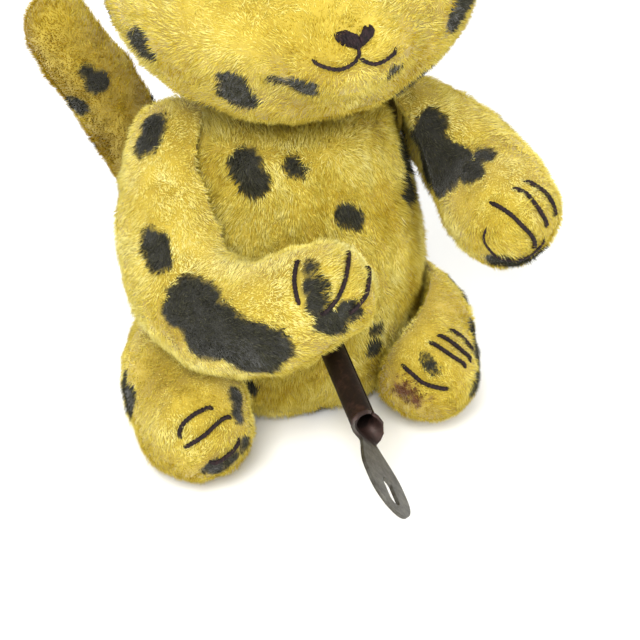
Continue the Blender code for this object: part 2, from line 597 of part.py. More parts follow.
def make_train(look, places, axes):
    """Second arbor with its wheel and crank, and the fly that keeps the speed down."""
    up = math.pi / 2
    gap = math.pi / PINION_TEETH

    def arbor(name, axis, radius, low, high, teeth, module, turn, tooth_low, tooth_high):
        piece = add(name, rod((0, low, 0), (0, high, 0), radius, 12), look["arbor_steel"], axis,
                    smooth=30)
        leaves = add(f"{name}_leaves", plate(toothed(teeth, module, turn), tooth_low, tooth_high),
                     None, axis, smooth=30)
        combine(piece, [guide_shape(leaves)], "UNION")

    arbor("second_arbor", axes["crank"], SECOND_ARBOR_RADIUS, -12.6, 16.0, PINION_TEETH,
          GREAT_MODULE, -up + gap, -9.6, -6.8)
    arbor("fly_arbor", axes["fly"], FLY_ARBOR_RADIUS, -12.6, 14.6, FLY_PINION_TEETH,
          SECOND_MODULE, FLY_ANGLE + math.pi + math.pi / FLY_PINION_TEETH, 3.2, 5.8)
    second = plate(toothed(SECOND_TEETH, SECOND_MODULE, FLY_ANGLE), 4.0, 5.0,
                   [circle(SECOND_ARBOR_RADIUS + 0.2, 12)])
    add("second_wheel", second, look["wheel_brass"], axes["crank"])

    blade, hub, half = 6.0, 1.9, 0.45
    lean = math.asin(half / hub)
    fly = circle(hub, 6, (0, 0), lean, math.pi - lean) + [(-blade, half), (-blade, -half)]
    fly += circle(hub, 6, (0, 0), math.pi + lean, 2 * math.pi - lean)
    fly += [(blade, -half), (blade, half)]
    governor = plate(fly, 7.2, 11.2, [circle(FLY_ARBOR_RADIUS + 0.2, 12)])
    add("governor_fly", governor, look["wheel_brass"], axes["fly"])

    crank = plate(circle(CRANK_RADIUS, 20), 14.5, 15.7, [circle(SECOND_ARBOR_RADIUS + 0.2, 12)])
    add("crank_disc", crank, look["wheel_brass"], axes["crank"])
    pin = rod((-CRANK_THROW, 16.1, 0), (-CRANK_THROW, 17.2, 0), 0.8, 12)
    add("crank_pin", pin, look["arbor_steel"], axes["crank"])


def make_rocker(look, motor, axis, axes):
    """Forked rocker behind the back plate, its stud, and a wire link up to each arm lever."""
    arm, fork, slot, depth = 3.0, 3.0, 1.2, 17.5
    outline = circle(arm, 6, (-ROCKER_HALF, 0), math.pi / 2, 3 * math.pi / 2)
    outline += [(-fork, -arm), (-fork, -depth), (-slot, -depth), (-slot, -11.5), (slot, -11.5),
                (slot, -depth), (fork, -depth), (fork, -arm)]
    outline += circle(arm, 6, (ROCKER_HALF, 0), -math.pi / 2, math.pi / 2)
    holes = [circle(1.8, 14), circle(LINK_HOLE, 10, (-ROCKER_HALF, 0)),
             circle(LINK_HOLE, 10, (ROCKER_HALF, 0))]
    add("rocker", plate(outline, 17.5, 18.7, holes), look["tinplate"], axis, tilt=ROCKER_TILT)
    levels = ((12.4, 1.0), (14.3, 1.0), (14.3, 2.6), (17.2, 2.6), (17.2, 1.5), (19.0, 1.5),
              (19.0, 2.8), (20.0, 2.8))
    stud = skin([ring(Vector((0, y, 0)), Vector((radius, 0, 0)), Vector((0, 0, radius)), 12)
                 for y, radius in levels])
    add("rocker_stud", stud, look["arbor_steel"], axes["rocker_pivot"], smooth=30)

    lean = Matrix.Rotation(KEY_LEAN, 3, "X")
    half = math.radians(ARM_SWING / 2)
    for side, sign in (("right", -1), ("left", 1)):
        low = Vector((sign * ROCKER_HALF * math.cos(ROCKER_TILT), 18.1,
                      ROCKER_PIVOT_Z - sign * ROCKER_HALF * math.sin(ROCKER_TILT)))
        low = lean @ low + Vector(MOTOR_CENTRE)
        high = Vector((sign * ROCKER_HALF, SHOULDER_Y + LEVER_LENGTH * math.cos(half),
                       SHOULDER_Z - sign * LEVER_LENGTH * math.sin(half)))
        along = lean @ Vector((0, 1, 0))
        out = Vector((sign * 3.3, 0, 0))
        front = low - along * 2.2
        route = [low + along * 1.8, front, Vector((high.x, high.y, front.z + 2.4)) + out,
                 high + out, high - out * 0.8]
        route[2].y = front.y
        wire(f"link_{side}", route, LINK_RADIUS, look["arbor_steel"])


def wire(name, route, radius, look):
    """Round wire bent at each point of a route."""
    line = bpy.data.curves.new(name, "CURVE")
    line.dimensions = "3D"
    line.bevel_depth = radius * MM
    line.bevel_resolution = 2
    line.use_fill_caps = True
    spline = line.splines.new("POLY")
    spline.points.add(len(route) - 1)
    for point, place in zip(spline.points, route):
        point.co = (*(place * MM), 1.0)
    line.materials.append(look)
    piece = bpy.data.objects.new(name, line)
    bpy.context.collection.objects.link(piece)


def make_key(look, axis):
    """A strip of sheet on its rest turn: rolled round the arbor, then opened flat into the bow."""
    columns = 16

    def width_and_roll(along):
        """Half width and roll angle of half the strip at a distance from the mouth."""
        tube_half = math.pi * KEY_TUBE_RADIUS - 0.35
        if along <= KEY_TUBE_LENGTH:
            return tube_half, tube_half / KEY_TUBE_RADIUS
        along -= KEY_TUBE_LENGTH
        if along <= KEY_NECK_LENGTH:
            share = along / KEY_NECK_LENGTH
            ease = share * share * (3 - 2 * share)
            half = tube_half + (KEY_NECK_HALF - tube_half) * ease
            return half, (1 - ease) * (1 - ease) * half / KEY_TUBE_RADIUS
        share = (along - KEY_NECK_LENGTH) / KEY_BOW_LENGTH
        swell = math.sqrt(max(0.0, 1 - (max(0.0, share - 0.62) / 0.38) ** 2))
        rise = min(1.0, share / 0.5)
        half = KEY_NECK_HALF + (KEY_BOW_HALF - KEY_NECK_HALF) * math.sin(rise * math.pi / 2) ** 1.3
        return max(half * swell, 3.0), 0.0

    stops = [0.0, KEY_TUBE_LENGTH] + [KEY_TUBE_LENGTH + KEY_NECK_LENGTH * s for s in (0.3, 0.6, 1.0)]
    bow = KEY_TUBE_LENGTH + KEY_NECK_LENGTH
    stops += [bow + KEY_BOW_LENGTH * s for s in (0.12, 0.26, 0.42, 0.6, 0.74, 0.85, 0.93, 0.98, 1.0)]
    shape = bmesh.new()
    rows = []
    for along in stops:
        half, roll = width_and_roll(along)
        drop = KEY_TUBE_RADIUS if along <= KEY_TUBE_LENGTH else 0.0
        if KEY_TUBE_LENGTH < along <= bow:
            share = (along - KEY_TUBE_LENGTH) / KEY_NECK_LENGTH
            drop = KEY_TUBE_RADIUS * (1 - share) + KEY_BOW_DROP * share
        elif along > bow:
            drop = KEY_BOW_DROP
        row = []
        for column in range(columns + 1):
            offset = half * (2 * column / columns - 1)
            if roll > 1e-3:
                radius = half / roll
                x = radius * math.sin(offset / radius)
                z = radius * (1 - math.cos(offset / radius)) - drop
            else:
                x, z = offset, -drop
            row.append(shape.verts.new((x, -KEY_START - along, z)))
        rows.append(row)
    for low, high in zip(rows, rows[1:]):
        for index in range(columns):
            shape.faces.new((low[index], low[index + 1], high[index + 1], high[index]))
    key = add("winding_key", shape, look["patinated_steel"], axis, tilt=KEY_TURN)
    thick = key.modifiers.new("sheet", "SOLIDIFY")
    thick.thickness = KEY_SHEET * MM
    thick.offset = 0.0
    middle, half_width, half_length = KEY_SLOT
    slot = circle(half_width, 6, (0, half_length - half_width), 0, math.pi)
    slot += circle(half_width, 6, (0, half_width - half_length), math.pi, 2 * math.pi)
    cutter = plate(slot, -4, 2)
    turn = Matrix(((1, 0, 0), (0, 0, 1), (0, 1, 0)))
    bmesh.ops.transform(cutter, matrix=turn.to_4x4(), verts=cutter.verts)
    bmesh.ops.translate(cutter, vec=(0, -KEY_START - bow - middle, 0), verts=cutter.verts)
    combine(key, [guide_shape(add("key_slot_cutter", cutter, None, axis, tilt=KEY_TURN))])


def main():
    for thing in list(bpy.data.objects):
        bpy.data.objects.remove(thing)
    look = {name: finish(name, *values) for name, values in FINISHES.items()}

    motor = empty("motor_frame", MOTOR_CENTRE, lean=KEY_LEAN)
    fly = (FLY_DISTANCE * math.cos(FLY_ANGLE), CRANK_ARBOR_Z + FLY_DISTANCE * math.sin(FLY_ANGLE))
    places = {"crank": (0.0, CRANK_ARBOR_Z), "fly": fly}
    winding = empty("winding_axis", (0, 0, 0), motor)
    great = empty("great_wheel_axis", (0, 0, 0), motor)
    axes = {"crank": empty("crank_axis", (0, 0, CRANK_ARBOR_Z), motor),
            "fly": empty("fly_axis", (fly[0], 0, fly[1]), motor),
            "rocker_pivot": empty("rocker_pivot", (0, 0, ROCKER_PIVOT_Z), motor),
            "right": empty("arm_axis_right", (-SHOULDER_FACE, SHOULDER_Y, SHOULDER_Z)),
            "left": empty("arm_axis_left", (SHOULDER_FACE, SHOULDER_Y, SHOULDER_Z))}
    rocker = empty("rocker_axis", (0, 0, ROCKER_PIVOT_Z), motor)

    make_torso(look)
    make_arms(look, axes)
    make_legs_and_tail(look)
    make_head(look, empty("head_axis", (0, 0, HEAD_BASE_Z)))
    make_frame(look, motor, places)
    make_winding(look, motor, winding, great)
    make_train(look, places, axes)
    make_rocker(look, motor, rocker, axes)
    make_key(look, winding)


main()
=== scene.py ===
"""Looks of the seated wind-up plush leopard: covers, pile, thread, key, face and clockwork."""

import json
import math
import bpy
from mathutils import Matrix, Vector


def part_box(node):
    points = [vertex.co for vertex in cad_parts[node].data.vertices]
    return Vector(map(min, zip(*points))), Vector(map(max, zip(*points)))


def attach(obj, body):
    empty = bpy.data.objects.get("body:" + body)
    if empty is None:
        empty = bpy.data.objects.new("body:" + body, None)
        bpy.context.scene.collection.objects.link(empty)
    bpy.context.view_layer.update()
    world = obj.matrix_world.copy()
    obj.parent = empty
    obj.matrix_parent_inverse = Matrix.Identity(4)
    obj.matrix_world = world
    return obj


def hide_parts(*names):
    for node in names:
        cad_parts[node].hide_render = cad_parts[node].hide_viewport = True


bl_info = {
    "name": "Wind-up plush leopard",
    "version": (1, 0, 0),
    "blender": (4, 5, 0),
    "location": "View3D > Sidebar > Leopard",
    "description": "Dresses the packed clockwork leopard in plush, thread, steel and brass",
    "category": "Object",
}

import bpy
import numpy as np
from bpy.props import FloatProperty, FloatVectorProperty, IntProperty, PointerProperty
from mathutils import Matrix, Vector
from mathutils.bvhtree import BVHTree

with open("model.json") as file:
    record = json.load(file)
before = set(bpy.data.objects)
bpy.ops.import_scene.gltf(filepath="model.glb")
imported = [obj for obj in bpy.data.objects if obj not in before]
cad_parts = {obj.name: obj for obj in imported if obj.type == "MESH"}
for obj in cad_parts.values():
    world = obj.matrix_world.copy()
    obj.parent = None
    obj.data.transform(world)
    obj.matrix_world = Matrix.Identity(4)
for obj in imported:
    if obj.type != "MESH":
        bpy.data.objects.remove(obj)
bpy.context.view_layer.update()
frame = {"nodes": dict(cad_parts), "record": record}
MM = 0.001
SEED = 7
CLOTH_INSET = 1.4               # mm from the CAD surface in to the cloth, which leaves room for pile
SHOULDER = (35.6, 0.0, 92.0)    # mm, where an arm's inner face meets its axis
SHOULDER_DISC_RADIUS = 8.0
HEAD_CENTRE, HEAD_RADII = (0.0, -10.0, 154.5), (57.0, 53.0, 50.0)   # mm, the skull
NECK_Z = 104.5                  # mm, between the torso's top and the head's base
SEAM_GROOVE = (1.1, 1.6)        # mm, depth and width of the cloth's dip at a seam
STITCH_GROOVE = (0.9, 1.8)      # mm, the same under a line of thread
EYE_DOME = 0.72                 # height of a glass eye, as a share of its radius
EYE_RING = (1.02, 0.16)         # its felt ring's two radii, as shares of its radius
SEAT_EDGE = 0.6                 # mm, fold of the seat's cloth

# The pile: how fibres lie and where it changes (mm and degrees).
PILE_LEAN, LEAST_LEAN, MOST_LEAN = 54.0, 20.0, 80.0     # from upright
ROOT_DEPTH = 0.35               # of a fibre's root in the cloth
TABLE_GAP = 0.15                # kept free under the lowest tips
HEM = 1.2                       # no pile below this height
SPOT_SPACING, LINE_SPACING = 21.0, 9.0      # a scattered spot from other spots and from claw lines
FRONT = (-0.24, -0.78, 0.57)    # the side whose spots are all listed

# The toy's plush covers: CAD node, body it rides on, and how its pile lies.
# comb is the line (mm) that the pile is brushed along; length is the pile's share of the full length;
# tone moves the gold towards pale (+) or deep (-), partly the part's own colour and partly painted
# light and shade: paler on the lit arms, deeper on the shaded tail; density is its share of the full
# density.
COVERS = {
    "torso_cover": {"body": "torso", "comb": ((0, -6, 108), (0, -2, 0)),
                    "length": 1.0, "tone": -0.1, "density": 1.0},
    "head_cover": {"body": "head", "comb": ((0, -66, 146), (0, 30, 160)),
                   "length": 0.8, "tone": 0.1, "density": 0.6},
    "arm_right": {"body": "arm_right", "comb": ((-37, 0, 110), (-42, -34, 59), (2, -64, 70)),
                  "length": 0.8, "tone": 0.5, "density": 1.0},
    "arm_left": {"body": "arm_left", "comb": ((37, 0, 110), (59, -16, 77), (58, -60, 70)),
                 "length": 0.8, "tone": 0.3, "density": 1.0},
    "leg_right": {"body": "torso", "comb": ((-33, 14, 30), (-43, -70, 12)),
                  "length": 0.75, "tone": 0.1, "density": 1.0},
    "leg_left": {"body": "torso", "comb": ((33, 14, 30), (34, -64, 12)),
                 "length": 0.75, "tone": -0.2, "density": 1.0},
    # the tail's deep tone is partly its own colour and partly painted shade
    "tail": {"body": "torso", "comb": ((0, 40, 20), (-32, 62, 49), (-64, 52, 118)),
             "length": 0.9, "tone": -1.2, "density": 0.8},
    "ear_right": {"body": "head", "comb": ((-34, -4, 180), (-40, -4, 216)),
                  "length": 0.6, "tone": 0.1, "density": 0.6},
    "ear_left": {"body": "head", "comb": ((34, -4, 180), (40, -4, 216)),
                 "length": 0.6, "tone": 0.1, "density": 0.6},
}

# Printed spots (mm): each is a few balls (x, y, z, radius) that meet the cover's surface.
SPOTS = {
    "torso_cover": (
        ((-20, -25, 96, 5.2), (-18, -28, 91, 4.8)),
        ((-6, -30, 95, 3.3), (-4, -31, 94, 2.6)),
        ((9, -36, 79, 3.8), (12, -35, 77, 3.0)),
        ((35, -14, 84, 5.5), (34, -23, 77, 5.0)),
        ((17, -40, 31, 3.2), (18, -41, 38, 3.0)),
        ((-24, -34, 20, 4.0),),
    ),
    "head_cover": (
        ((-28, -48, 132, 5.2), (-25, -48, 128, 4.4), (-30, -50, 135, 4.6)),
        ((-20, -61, 136, 4.8), (-14, -65, 138, 5.0)),
        ((14, -68, 139, 4.6),),
    ),
    "arm_right": (
        ((-44, -5, 103, 5.4), (-46, -8, 98, 4.6)),
        ((-51, -35, 80, 5.2), (-52, -31, 83, 4.0), (-50, -38, 76, 4.2)),
        ((-45, -55, 70, 9.0), (-41, -63, 64, 10.4), (-32, -70, 59, 9.6), (-27, -71, 61, 7.2)),
        ((-13, -72, 80, 4.6), (-14, -66, 86, 4.8), (-13, -75, 76, 4.4)),
        ((-9, -76, 69, 4.8), (-3, -77, 73, 4.4)),
    ),
    "arm_left": (
        ((40, -20, 87, 9.0), (44, -28, 84, 8.6), (42, -15, 76, 8.6), (48, -37, 87, 4.4),
         (41, -19, 96, 5.0)),
        ((52, -34, 91, 3.2),),
        ((50, -55, 63, 5.0), (57, -55, 60, 6.0), (65, -53, 62, 5.0)),
    ),
    "leg_right": (
        ((-62, -34, 24, 5.2), (-62, -27, 25, 4.6)),
        ((-47, -57, 43, 4.4), (-44, -52, 44, 3.4)),
        ((-29, -52, 32, 4.0), (-30, -57, 29, 3.6)),
        ((-41, -66, 14, 4.4), (-34, -65, 16, 4.0), (-29, -61, 19, 3.4)),
    ),
    "leg_left": (
        ((53, -35, 25, 5.6), (51, -43, 23, 5.2), (47, -52, 20, 4.4)),
        ((29, -52, 35, 3.4), (30, -55, 32, 3.2)),
        ((22, -38, 42, 3.0),),
    ),
    "tail": (
        ((-57, 49, 81, 4.6),),
        ((-50, 43, 92, 4.4), (-53, 41, 96, 3.6)),
        ((-36, 76, 60, 6.0),),
    ),
    "ear_right": (((-44, 2, 206, 6.0),),),
    "ear_left": (((46, 2, 203, 6.0),),),
}
# Old rust stain (mm) on the foot next to the key.
STAINS = {"leg_left": ((21, -53, 22, 5.2), (25, -57, 20, 4.0))}

# Embroidered claw lines (mm): points that are laid onto the cover, then sewn.
CLAW_LINES = {
    "arm_right": (
        ((-14, -60, 84), (-17, -66, 80), (-17, -71, 75)),
        ((2, -60, 84), (-1, -67, 82), (-5, -74, 78), (-11, -76, 72)),
        ((9, -62, 79), (6, -71, 78), (3, -74, 75), (-3, -77, 72)),
    ),
    "arm_left": (
        ((48, -52, 86), (53, -56, 83), (58, -59, 77), (63, -58, 69)),
        ((56, -50, 90), (61, -54, 87), (64, -56, 82), (66, -57, 76)),
        ((61, -48, 91), (66, -51, 87), (69, -53, 82), (70, -54, 77)),
    ),
    "leg_right": (
        ((-52, -61, 27), (-50, -60, 32), (-45, -59, 35), (-39, -58, 35)),
        ((-50, -64, 24), (-46, -64, 27), (-39, -62, 31), (-33, -59, 31)),
        ((-43, -66, 17), (-37, -66, 19), (-31, -62, 22)),
    ),
    "leg_left": (
        ((41, -43, 37), (45, -45, 34), (49, -47, 28)),
        ((36, -46, 37), (42, -49, 33), (46, -51, 28)),
        ((32, -48, 37), (38, -52, 34), (43, -54, 28)),
        ((22, -50, 31), (25, -54, 28), (29, -58, 26), (35, -59, 24)),
    ),
}

# Outline of a paw pad (mm), sewn in a finer thread.
PAD_LINES = {
    "arm_left": (
        ((44, -57, 79), (43, -58, 73), (47, -60, 67), (54, -60, 64), (61, -58, 66), (66, -57, 71)),
    ),
}
# Radius of one ply, length of one twist and height over the cloth (mm) of each kind of thread.
CLAW_THREAD = (0.52, 2.4, 1.0)
PAD_THREAD = (0.3, 2.4, 1.0)
NOSE_THREAD = (0.5, 3.2, 0.7)
MOUTH_THREAD = (0.42, 2.6, 1.4)
THREAD_TUCK = 1.4               # mm that both ends of a thread dip into the cloth

# Pressed seams (mm): lines where two panels of cloth meet and the pile parts.
SEAMS = {
    "torso_cover": (((24, -14, 100), (19, -27, 94), (20, -32, 80), (24, -35, 66), (24, -38, 48)),
                    ((0, 34, 100), (0, 42, 60), (0, 36, 8))),
    "head_cover": (((0, -68, 156), (0, -58, 180), (0, -20, 208), (0, 30, 190), (0, 42, 150)),),
}

# Key strip (mm), the same sizes as the CAD part's.
KEY_LEAN = math.radians(9.0)
KEY_TURN = math.radians(50.0)
KEY_CENTRE = (0.0, -2.0, 47.8)
KEY_START, KEY_TUBE, KEY_NECK, KEY_BOW = 40.0, 38.0, 9.0, 28.0
KEY_ROLL_RADIUS, KEY_NECK_HALF, KEY_BOW_HALF = 3.4, 4.2, 9.0
KEY_BOW_DROP = 1.2              # the flat bow's distance from the axis
KEY_SHEET = 1.1
KEY_SLOT = (19.0, 2.3, 5.2)     # middle along the bow, half width, half length
KEY_ROWS, KEY_COLUMNS = 90, 28
KEY_EDGE = 0.22                 # rounding of the stamped edges

# Stage: lens (mm), how far the aim is moved right and up (m), strength of the surround.
CAMERA_LENS = 105
AIM_SHIFT = (0.0106, -0.026)
SURROUND_STRENGTH = 0.85
# Soft lights: name, place (m), size (m), power (W).
LIGHTS = (("key_light", (-0.35, -0.7, 0.85), 0.45, 14.0),
          ("fill_light", (0.6, -0.9, 0.5), 0.8, 5.0),
          ("back_light", (-0.2, 0.9, 0.8), 0.8, 4.0))


# --- small helpers -------------------------------------------------------------------------
def colour(code):
    """An sRGB hex colour as linear red, green and blue."""
    parts = [int(code[i:i + 2], 16) / 255 for i in (1, 3, 5)]
    return tuple(v / 12.92 if v <= 0.04045 else ((v + 0.055) / 1.055) ** 2.4 for v in parts)


def select_only(*things):
    """Leave just these objects selected, the first one active."""
    bpy.ops.object.select_all(action="DESELECT")
    for thing in things:
        thing.select_set(True)
    bpy.context.view_layer.objects.active = things[0]


def primitive(kind, **sizes):
    """Add one of Blender's own mesh shapes as the only selected object."""
    bpy.ops.object.select_all(action="DESELECT")
    getattr(bpy.ops.mesh, f"primitive_{kind}_add")(**sizes)
    return bpy.context.object


def apply_all(piece):
    """Apply every modifier of a piece in order."""
    select_only(piece)
    for name in [modifier.name for modifier in piece.modifiers]:
        bpy.ops.object.modifier_apply(modifier=name)


def settle(piece):
    """Put the piece's place into its mesh, so the object sits at the origin."""
    select_only(piece)
    bpy.ops.object.transform_apply(location=True, rotation=True, scale=True)


def dress(piece, name, body, slot, *looks):
    """Name a piece, give it its materials and its body; the slot argument is not used."""
    piece.name = name
    piece.data.materials.clear()
    for look in looks:
        piece.data.materials.append(look)
    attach(piece, body)
    return piece


def smooth_line(points, steps):
    """A Catmull-Rom curve through the points, as a list of vectors."""
    knots = [Vector(point) for point in points]
    knots.insert(0, 2 * knots[0] - knots[1])
    knots.append(2 * knots[-1] - knots[-2])
    line = []
    for before, start, end, after in zip(knots, knots[1:], knots[2:], knots[3:]):
        for step in range(steps):
            t = step / steps
            line.append(0.5 * (2 * start + (end - before) * t
                               + (2 * before - 5 * start + 4 * end - after) * t * t
                               + (3 * start - before - 3 * end + after) * t ** 3))
    line.append(knots[-2])
    return line


def vertex_array(mesh, what="co"):
    """Vertex places in metres, or their normals, as an N by 3 array."""
    flat = np.empty(len(mesh.vertices) * 3, np.float32)
    mesh.vertices.foreach_get(what, flat)
    return flat.reshape(-1, 3).astype(float)


def surface_tree(cover):
    """A search tree over a cover's faces, in metres."""
    return BVHTree.FromPolygons([v.co for v in cover.data.vertices],
                                [p.vertices for p in cover.data.polygons])


def ripple(points, size, seed):
    """Smooth noise of about -1 to 1 at points (mm), with waves of about that size (mm)."""
    draw = np.random.default_rng(seed)
    total = np.zeros(len(points))
    for _ in range(7):
        way = draw.normal(size=3)
        way *= 2 * math.pi * draw.uniform(0.6, 1.5) / (size * np.linalg.norm(way))
        total += np.sin(points @ way + draw.uniform(0, 2 * math.pi))
    return total / 2.6


def distance_to_line(points, line):
    """Each point's distance to a broken line, both in mm, and the way of the nearest stretch."""
    best = np.full(len(points), np.inf)
    ways = np.zeros_like(points)
    for start, end in zip(line, line[1:]):
        start, end = np.array(start, float), np.array(end, float)
        along = end - start
        share = np.clip((points - start) @ along / max(along @ along, 1e-9), 0, 1)
        gap = np.linalg.norm(points - start - share[:, None] * along, axis=1)
        near = gap < best
        best[near] = gap[near]
        ways[near] = along / np.linalg.norm(along)
    return best, ways


# --- materials -----------------------------------------------------------------------------
def add_node(tree, kind, inputs=None, **settings):
    """Add a node; inputs gives each socket a value or the output that feeds it."""
    made = tree.nodes.new(kind)
    for name, value in settings.items():
        setattr(made, name, value)
    for socket, value in (inputs or {}).items():
        if isinstance(value, bpy.types.NodeSocket):
            tree.links.new(value, made.inputs[socket])
        else:
            made.inputs[socket].default_value = value
    return made


def new_material(name, base, roughness, metallic=0.0, **sockets):
    """A Principled material and its tree; further sockets by name with _ for spaces."""
    look = bpy.data.materials.get(name)
    if look is not None:
        return look, look.node_tree, look.node_tree.nodes["Principled BSDF"]
    look = bpy.data.materials.new(name)
    look.use_nodes = True
    tree = look.node_tree
    shader = tree.nodes["Principled BSDF"]
    shader.inputs["Base Color"].default_value = (*colour(base), 1.0)
    shader.inputs["Roughness"].default_value = roughness
    shader.inputs["Metallic"].default_value = metallic
    for socket, value in sockets.items():
        shader.inputs[socket.replace("_", " ")].default_value = value
    return look, tree, shader


def ramp(tree, factor, stops):
    """A colour ramp from a factor, with (place, hex colour) stops."""
    made = add_node(tree, "ShaderNodeValToRGB", {"Fac": factor})
    band = made.color_ramp
    while len(band.elements) > 1:
        band.elements.remove(band.elements[-1])
    band.elements[0].position = stops[0][0]
    band.elements[0].color = (*colour(stops[0][1]), 1.0)
    for place, code in stops[1:]:
        band.elements.new(place).color = (*colour(code), 1.0)
    return made.outputs["Color"]


def mixed(tree, factor, first, second):
    """A colour blended from the first to the second, each a socket or a hex colour."""
    made = add_node(tree, "ShaderNodeMix", data_type="RGBA")
    share, *pair = [socket for socket in made.inputs if socket.enabled]
    tree.links.new(factor, share)
    for socket, value in zip(pair, (first, second)):
        if isinstance(value, str):
            socket.default_value = (*colour(value), 1.0)
        else:
            tree.links.new(value, socket)
    return next(socket for socket in made.outputs if socket.enabled)


def bump(tree, shader, height, depth_mm):
    """Feed a height into the shader's normal, depth in millimetres."""
    made = add_node(tree, "ShaderNodeBump", {"Height": height, "Strength": 1.0,
                                             "Distance": depth_mm * MM})
    tree.links.new(made.outputs["Normal"], shader.inputs["Normal"])


def object_place(tree):
    """Object coordinates."""
    return add_node(tree, "ShaderNodeTexCoord").outputs["Object"]


def noise(tree, place, size_mm, detail=2.0, **inputs):
    """Noise with features of about that size at a place; its factor."""
    sockets = {"Vector": place, "Scale": 1 / (size_mm * MM), "Detail": detail, **inputs}
    return add_node(tree, "ShaderNodeTexNoise", sockets).outputs["Fac"]


def plush_backing():
    """Woven cotton ground of mohair-style plush: matt, gold with printed olive-black spots."""
    look, tree, shader = new_material("cotton plush ground, dyed", "#A08A25", 0.95, Sheen_Weight=0.3)
    place = object_place(tree)
    gold = ramp(tree, noise(tree, place, 14, 3.0),
                ((0.3, "#8E7818"), (0.55, "#A8922A"), (0.75, "#BFA940")))
    print_dye = add_node(tree, "ShaderNodeAttribute", attribute_name="spot")
    stain = add_node(tree, "ShaderNodeAttribute", attribute_name="stain")
    spotted = mixed(tree, print_dye.outputs["Fac"], gold, "#1C1B10")
    rusty = mixed(tree, stain.outputs["Fac"], spotted, "#5A340E")
    tree.links.new(rusty, shader.inputs["Base Color"])
    # loops of the ground weave, 0.5 mm apart
    bump(tree, shader, noise(tree, place, 0.5), 0.35)
    return look


# Fibre tones from the shaded roots to the sunlit tips: dyed rayon pile, soft silky shine.
# Each fibre is one tone, and the mix of tones makes the colour of the cloth.
GOLD_TONES = ("#927404", "#AF9318", "#C8B13C", "#DBC95A", "#EADC7C", "#F5EB9A")
SPOT_TONES = ("#16150D", "#29281A", "#3D3C2B", "#565442")
STAIN_TONES = ("#4A2A0C", "#6E4416")


def pile_tones():
    """One material for each tone of fibre: rayon, roughness of combed fibre, faint sheen."""
    tones = []
    for family, codes in (("gold", GOLD_TONES), ("olive black", SPOT_TONES), ("rust", STAIN_TONES)):
        for number, code in enumerate(codes):
            look, _, _ = new_material(f"rayon pile, {family} {number}", code, 0.6,
                                      Sheen_Weight=0.12, Sheen_Roughness=0.4, Specular_IOR_Level=0.25,
                                      Sheen_Tint=(*colour(code), 1.0))
            tones.append(look)
    return tones


def claw_thread():
    """Mercerised cotton embroidery thread, near-black brown with a slight silky shine."""
    look, tree, shader = new_material("mercerised cotton thread, brown black", "#1E1315", 0.75,
                                      Specular_IOR_Level=0.25)
    place = object_place(tree)
    tone = ramp(tree, noise(tree, place, 0.9), ((0.35, "#0E0809"), (0.7, "#2A191B")))
    tree.links.new(tone, shader.inputs["Base Color"])
    # single fibres are about 0.15 mm apart, drawn at 0.25 mm so that they show
    bump(tree, shader, noise(tree, place, 0.25), 0.06)
    return look


def key_steel():
    """Mild steel strip, stamped and rolled: brown oxide patina, rubbed grey on the bow."""
    look, tree, shader = new_material("rolled mild steel, brown patina", "#2A1F18", 0.5, 0.6)
    place = object_place(tree)
    parts = add_node(tree, "ShaderNodeSeparateXYZ", {"Vector": place})
    mottle = noise(tree, place, 4, 6.0, Roughness=0.7)
    # the patina gives way to rubbed steel over the 14 mm where the tube opens into the bow
    neck = (KEY_CENTRE[1] - (KEY_START + KEY_TUBE + KEY_NECK / 2) * math.cos(KEY_LEAN)) * MM
    fade = add_node(tree, "ShaderNodeMapRange",
                    {"Value": parts.outputs["Y"], "From Min": neck - 7 * MM,
                     "From Max": neck + 7 * MM, "To Min": -0.1, "To Max": 0.5})
    wear = add_node(tree, "ShaderNodeMath", {0: fade.outputs["Result"], 1: mottle}, operation="ADD")
    base = ramp(tree, wear.outputs["Value"], ((0.2, "#65635B"), (0.45, "#47443D"), (0.62, "#2C1F19"),
                                              (0.85, "#3A2721"), (1.0, "#211612")))
    tree.links.new(base, shader.inputs["Base Color"])
    fine = noise(tree, place, 0.8, 5.0)
    rough = add_node(tree, "ShaderNodeMapRange", {"Value": fine, "To Min": 0.38, "To Max": 0.66})
    tree.links.new(rough.outputs["Result"], shader.inputs["Roughness"])
    bump(tree, shader, fine, 0.05)
    return look


def sheet_metal(name, low, high, roughness, brush_mm):
    """Bare sheet metal: rolled or brushed along X, with faint scratches and cloudy tarnish."""
    look, tree, shader = new_material(name, high, roughness, 1.0)
    place = object_place(tree)
    brushed = add_node(tree, "ShaderNodeMapping", {"Vector": place, "Scale": (0.08, 1, 1)})
    lines = noise(tree, brushed.outputs["Vector"], brush_mm, 3.0)
    tone = ramp(tree, noise(tree, place, 9, 4.0), ((0.35, low), (0.6, high)))
    tree.links.new(tone, shader.inputs["Base Color"])
    rough = add_node(tree, "ShaderNodeMapRange",
                     {"Value": lines, "To Min": roughness - 0.08, "To Max": roughness + 0.12})
    tree.links.new(rough.outputs["Result"], shader.inputs["Roughness"])
    bump(tree, shader, lines, 0.01)
    return look


def fibre_board():
    """Joint discs of fibre board faced with the gold cloth of the body, matt, with specks."""
    look, tree, shader = new_material("fibre board faced with gold cloth", "#8E7818", 0.95)
    specks = noise(tree, object_place(tree), 0.7, 4.0)
    tone = ramp(tree, specks, ((0.35, "#7E6A16"), (0.6, "#A08A28")))
    tree.links.new(tone, shader.inputs["Base Color"])
    bump(tree, shader, specks, 0.08)
    return look


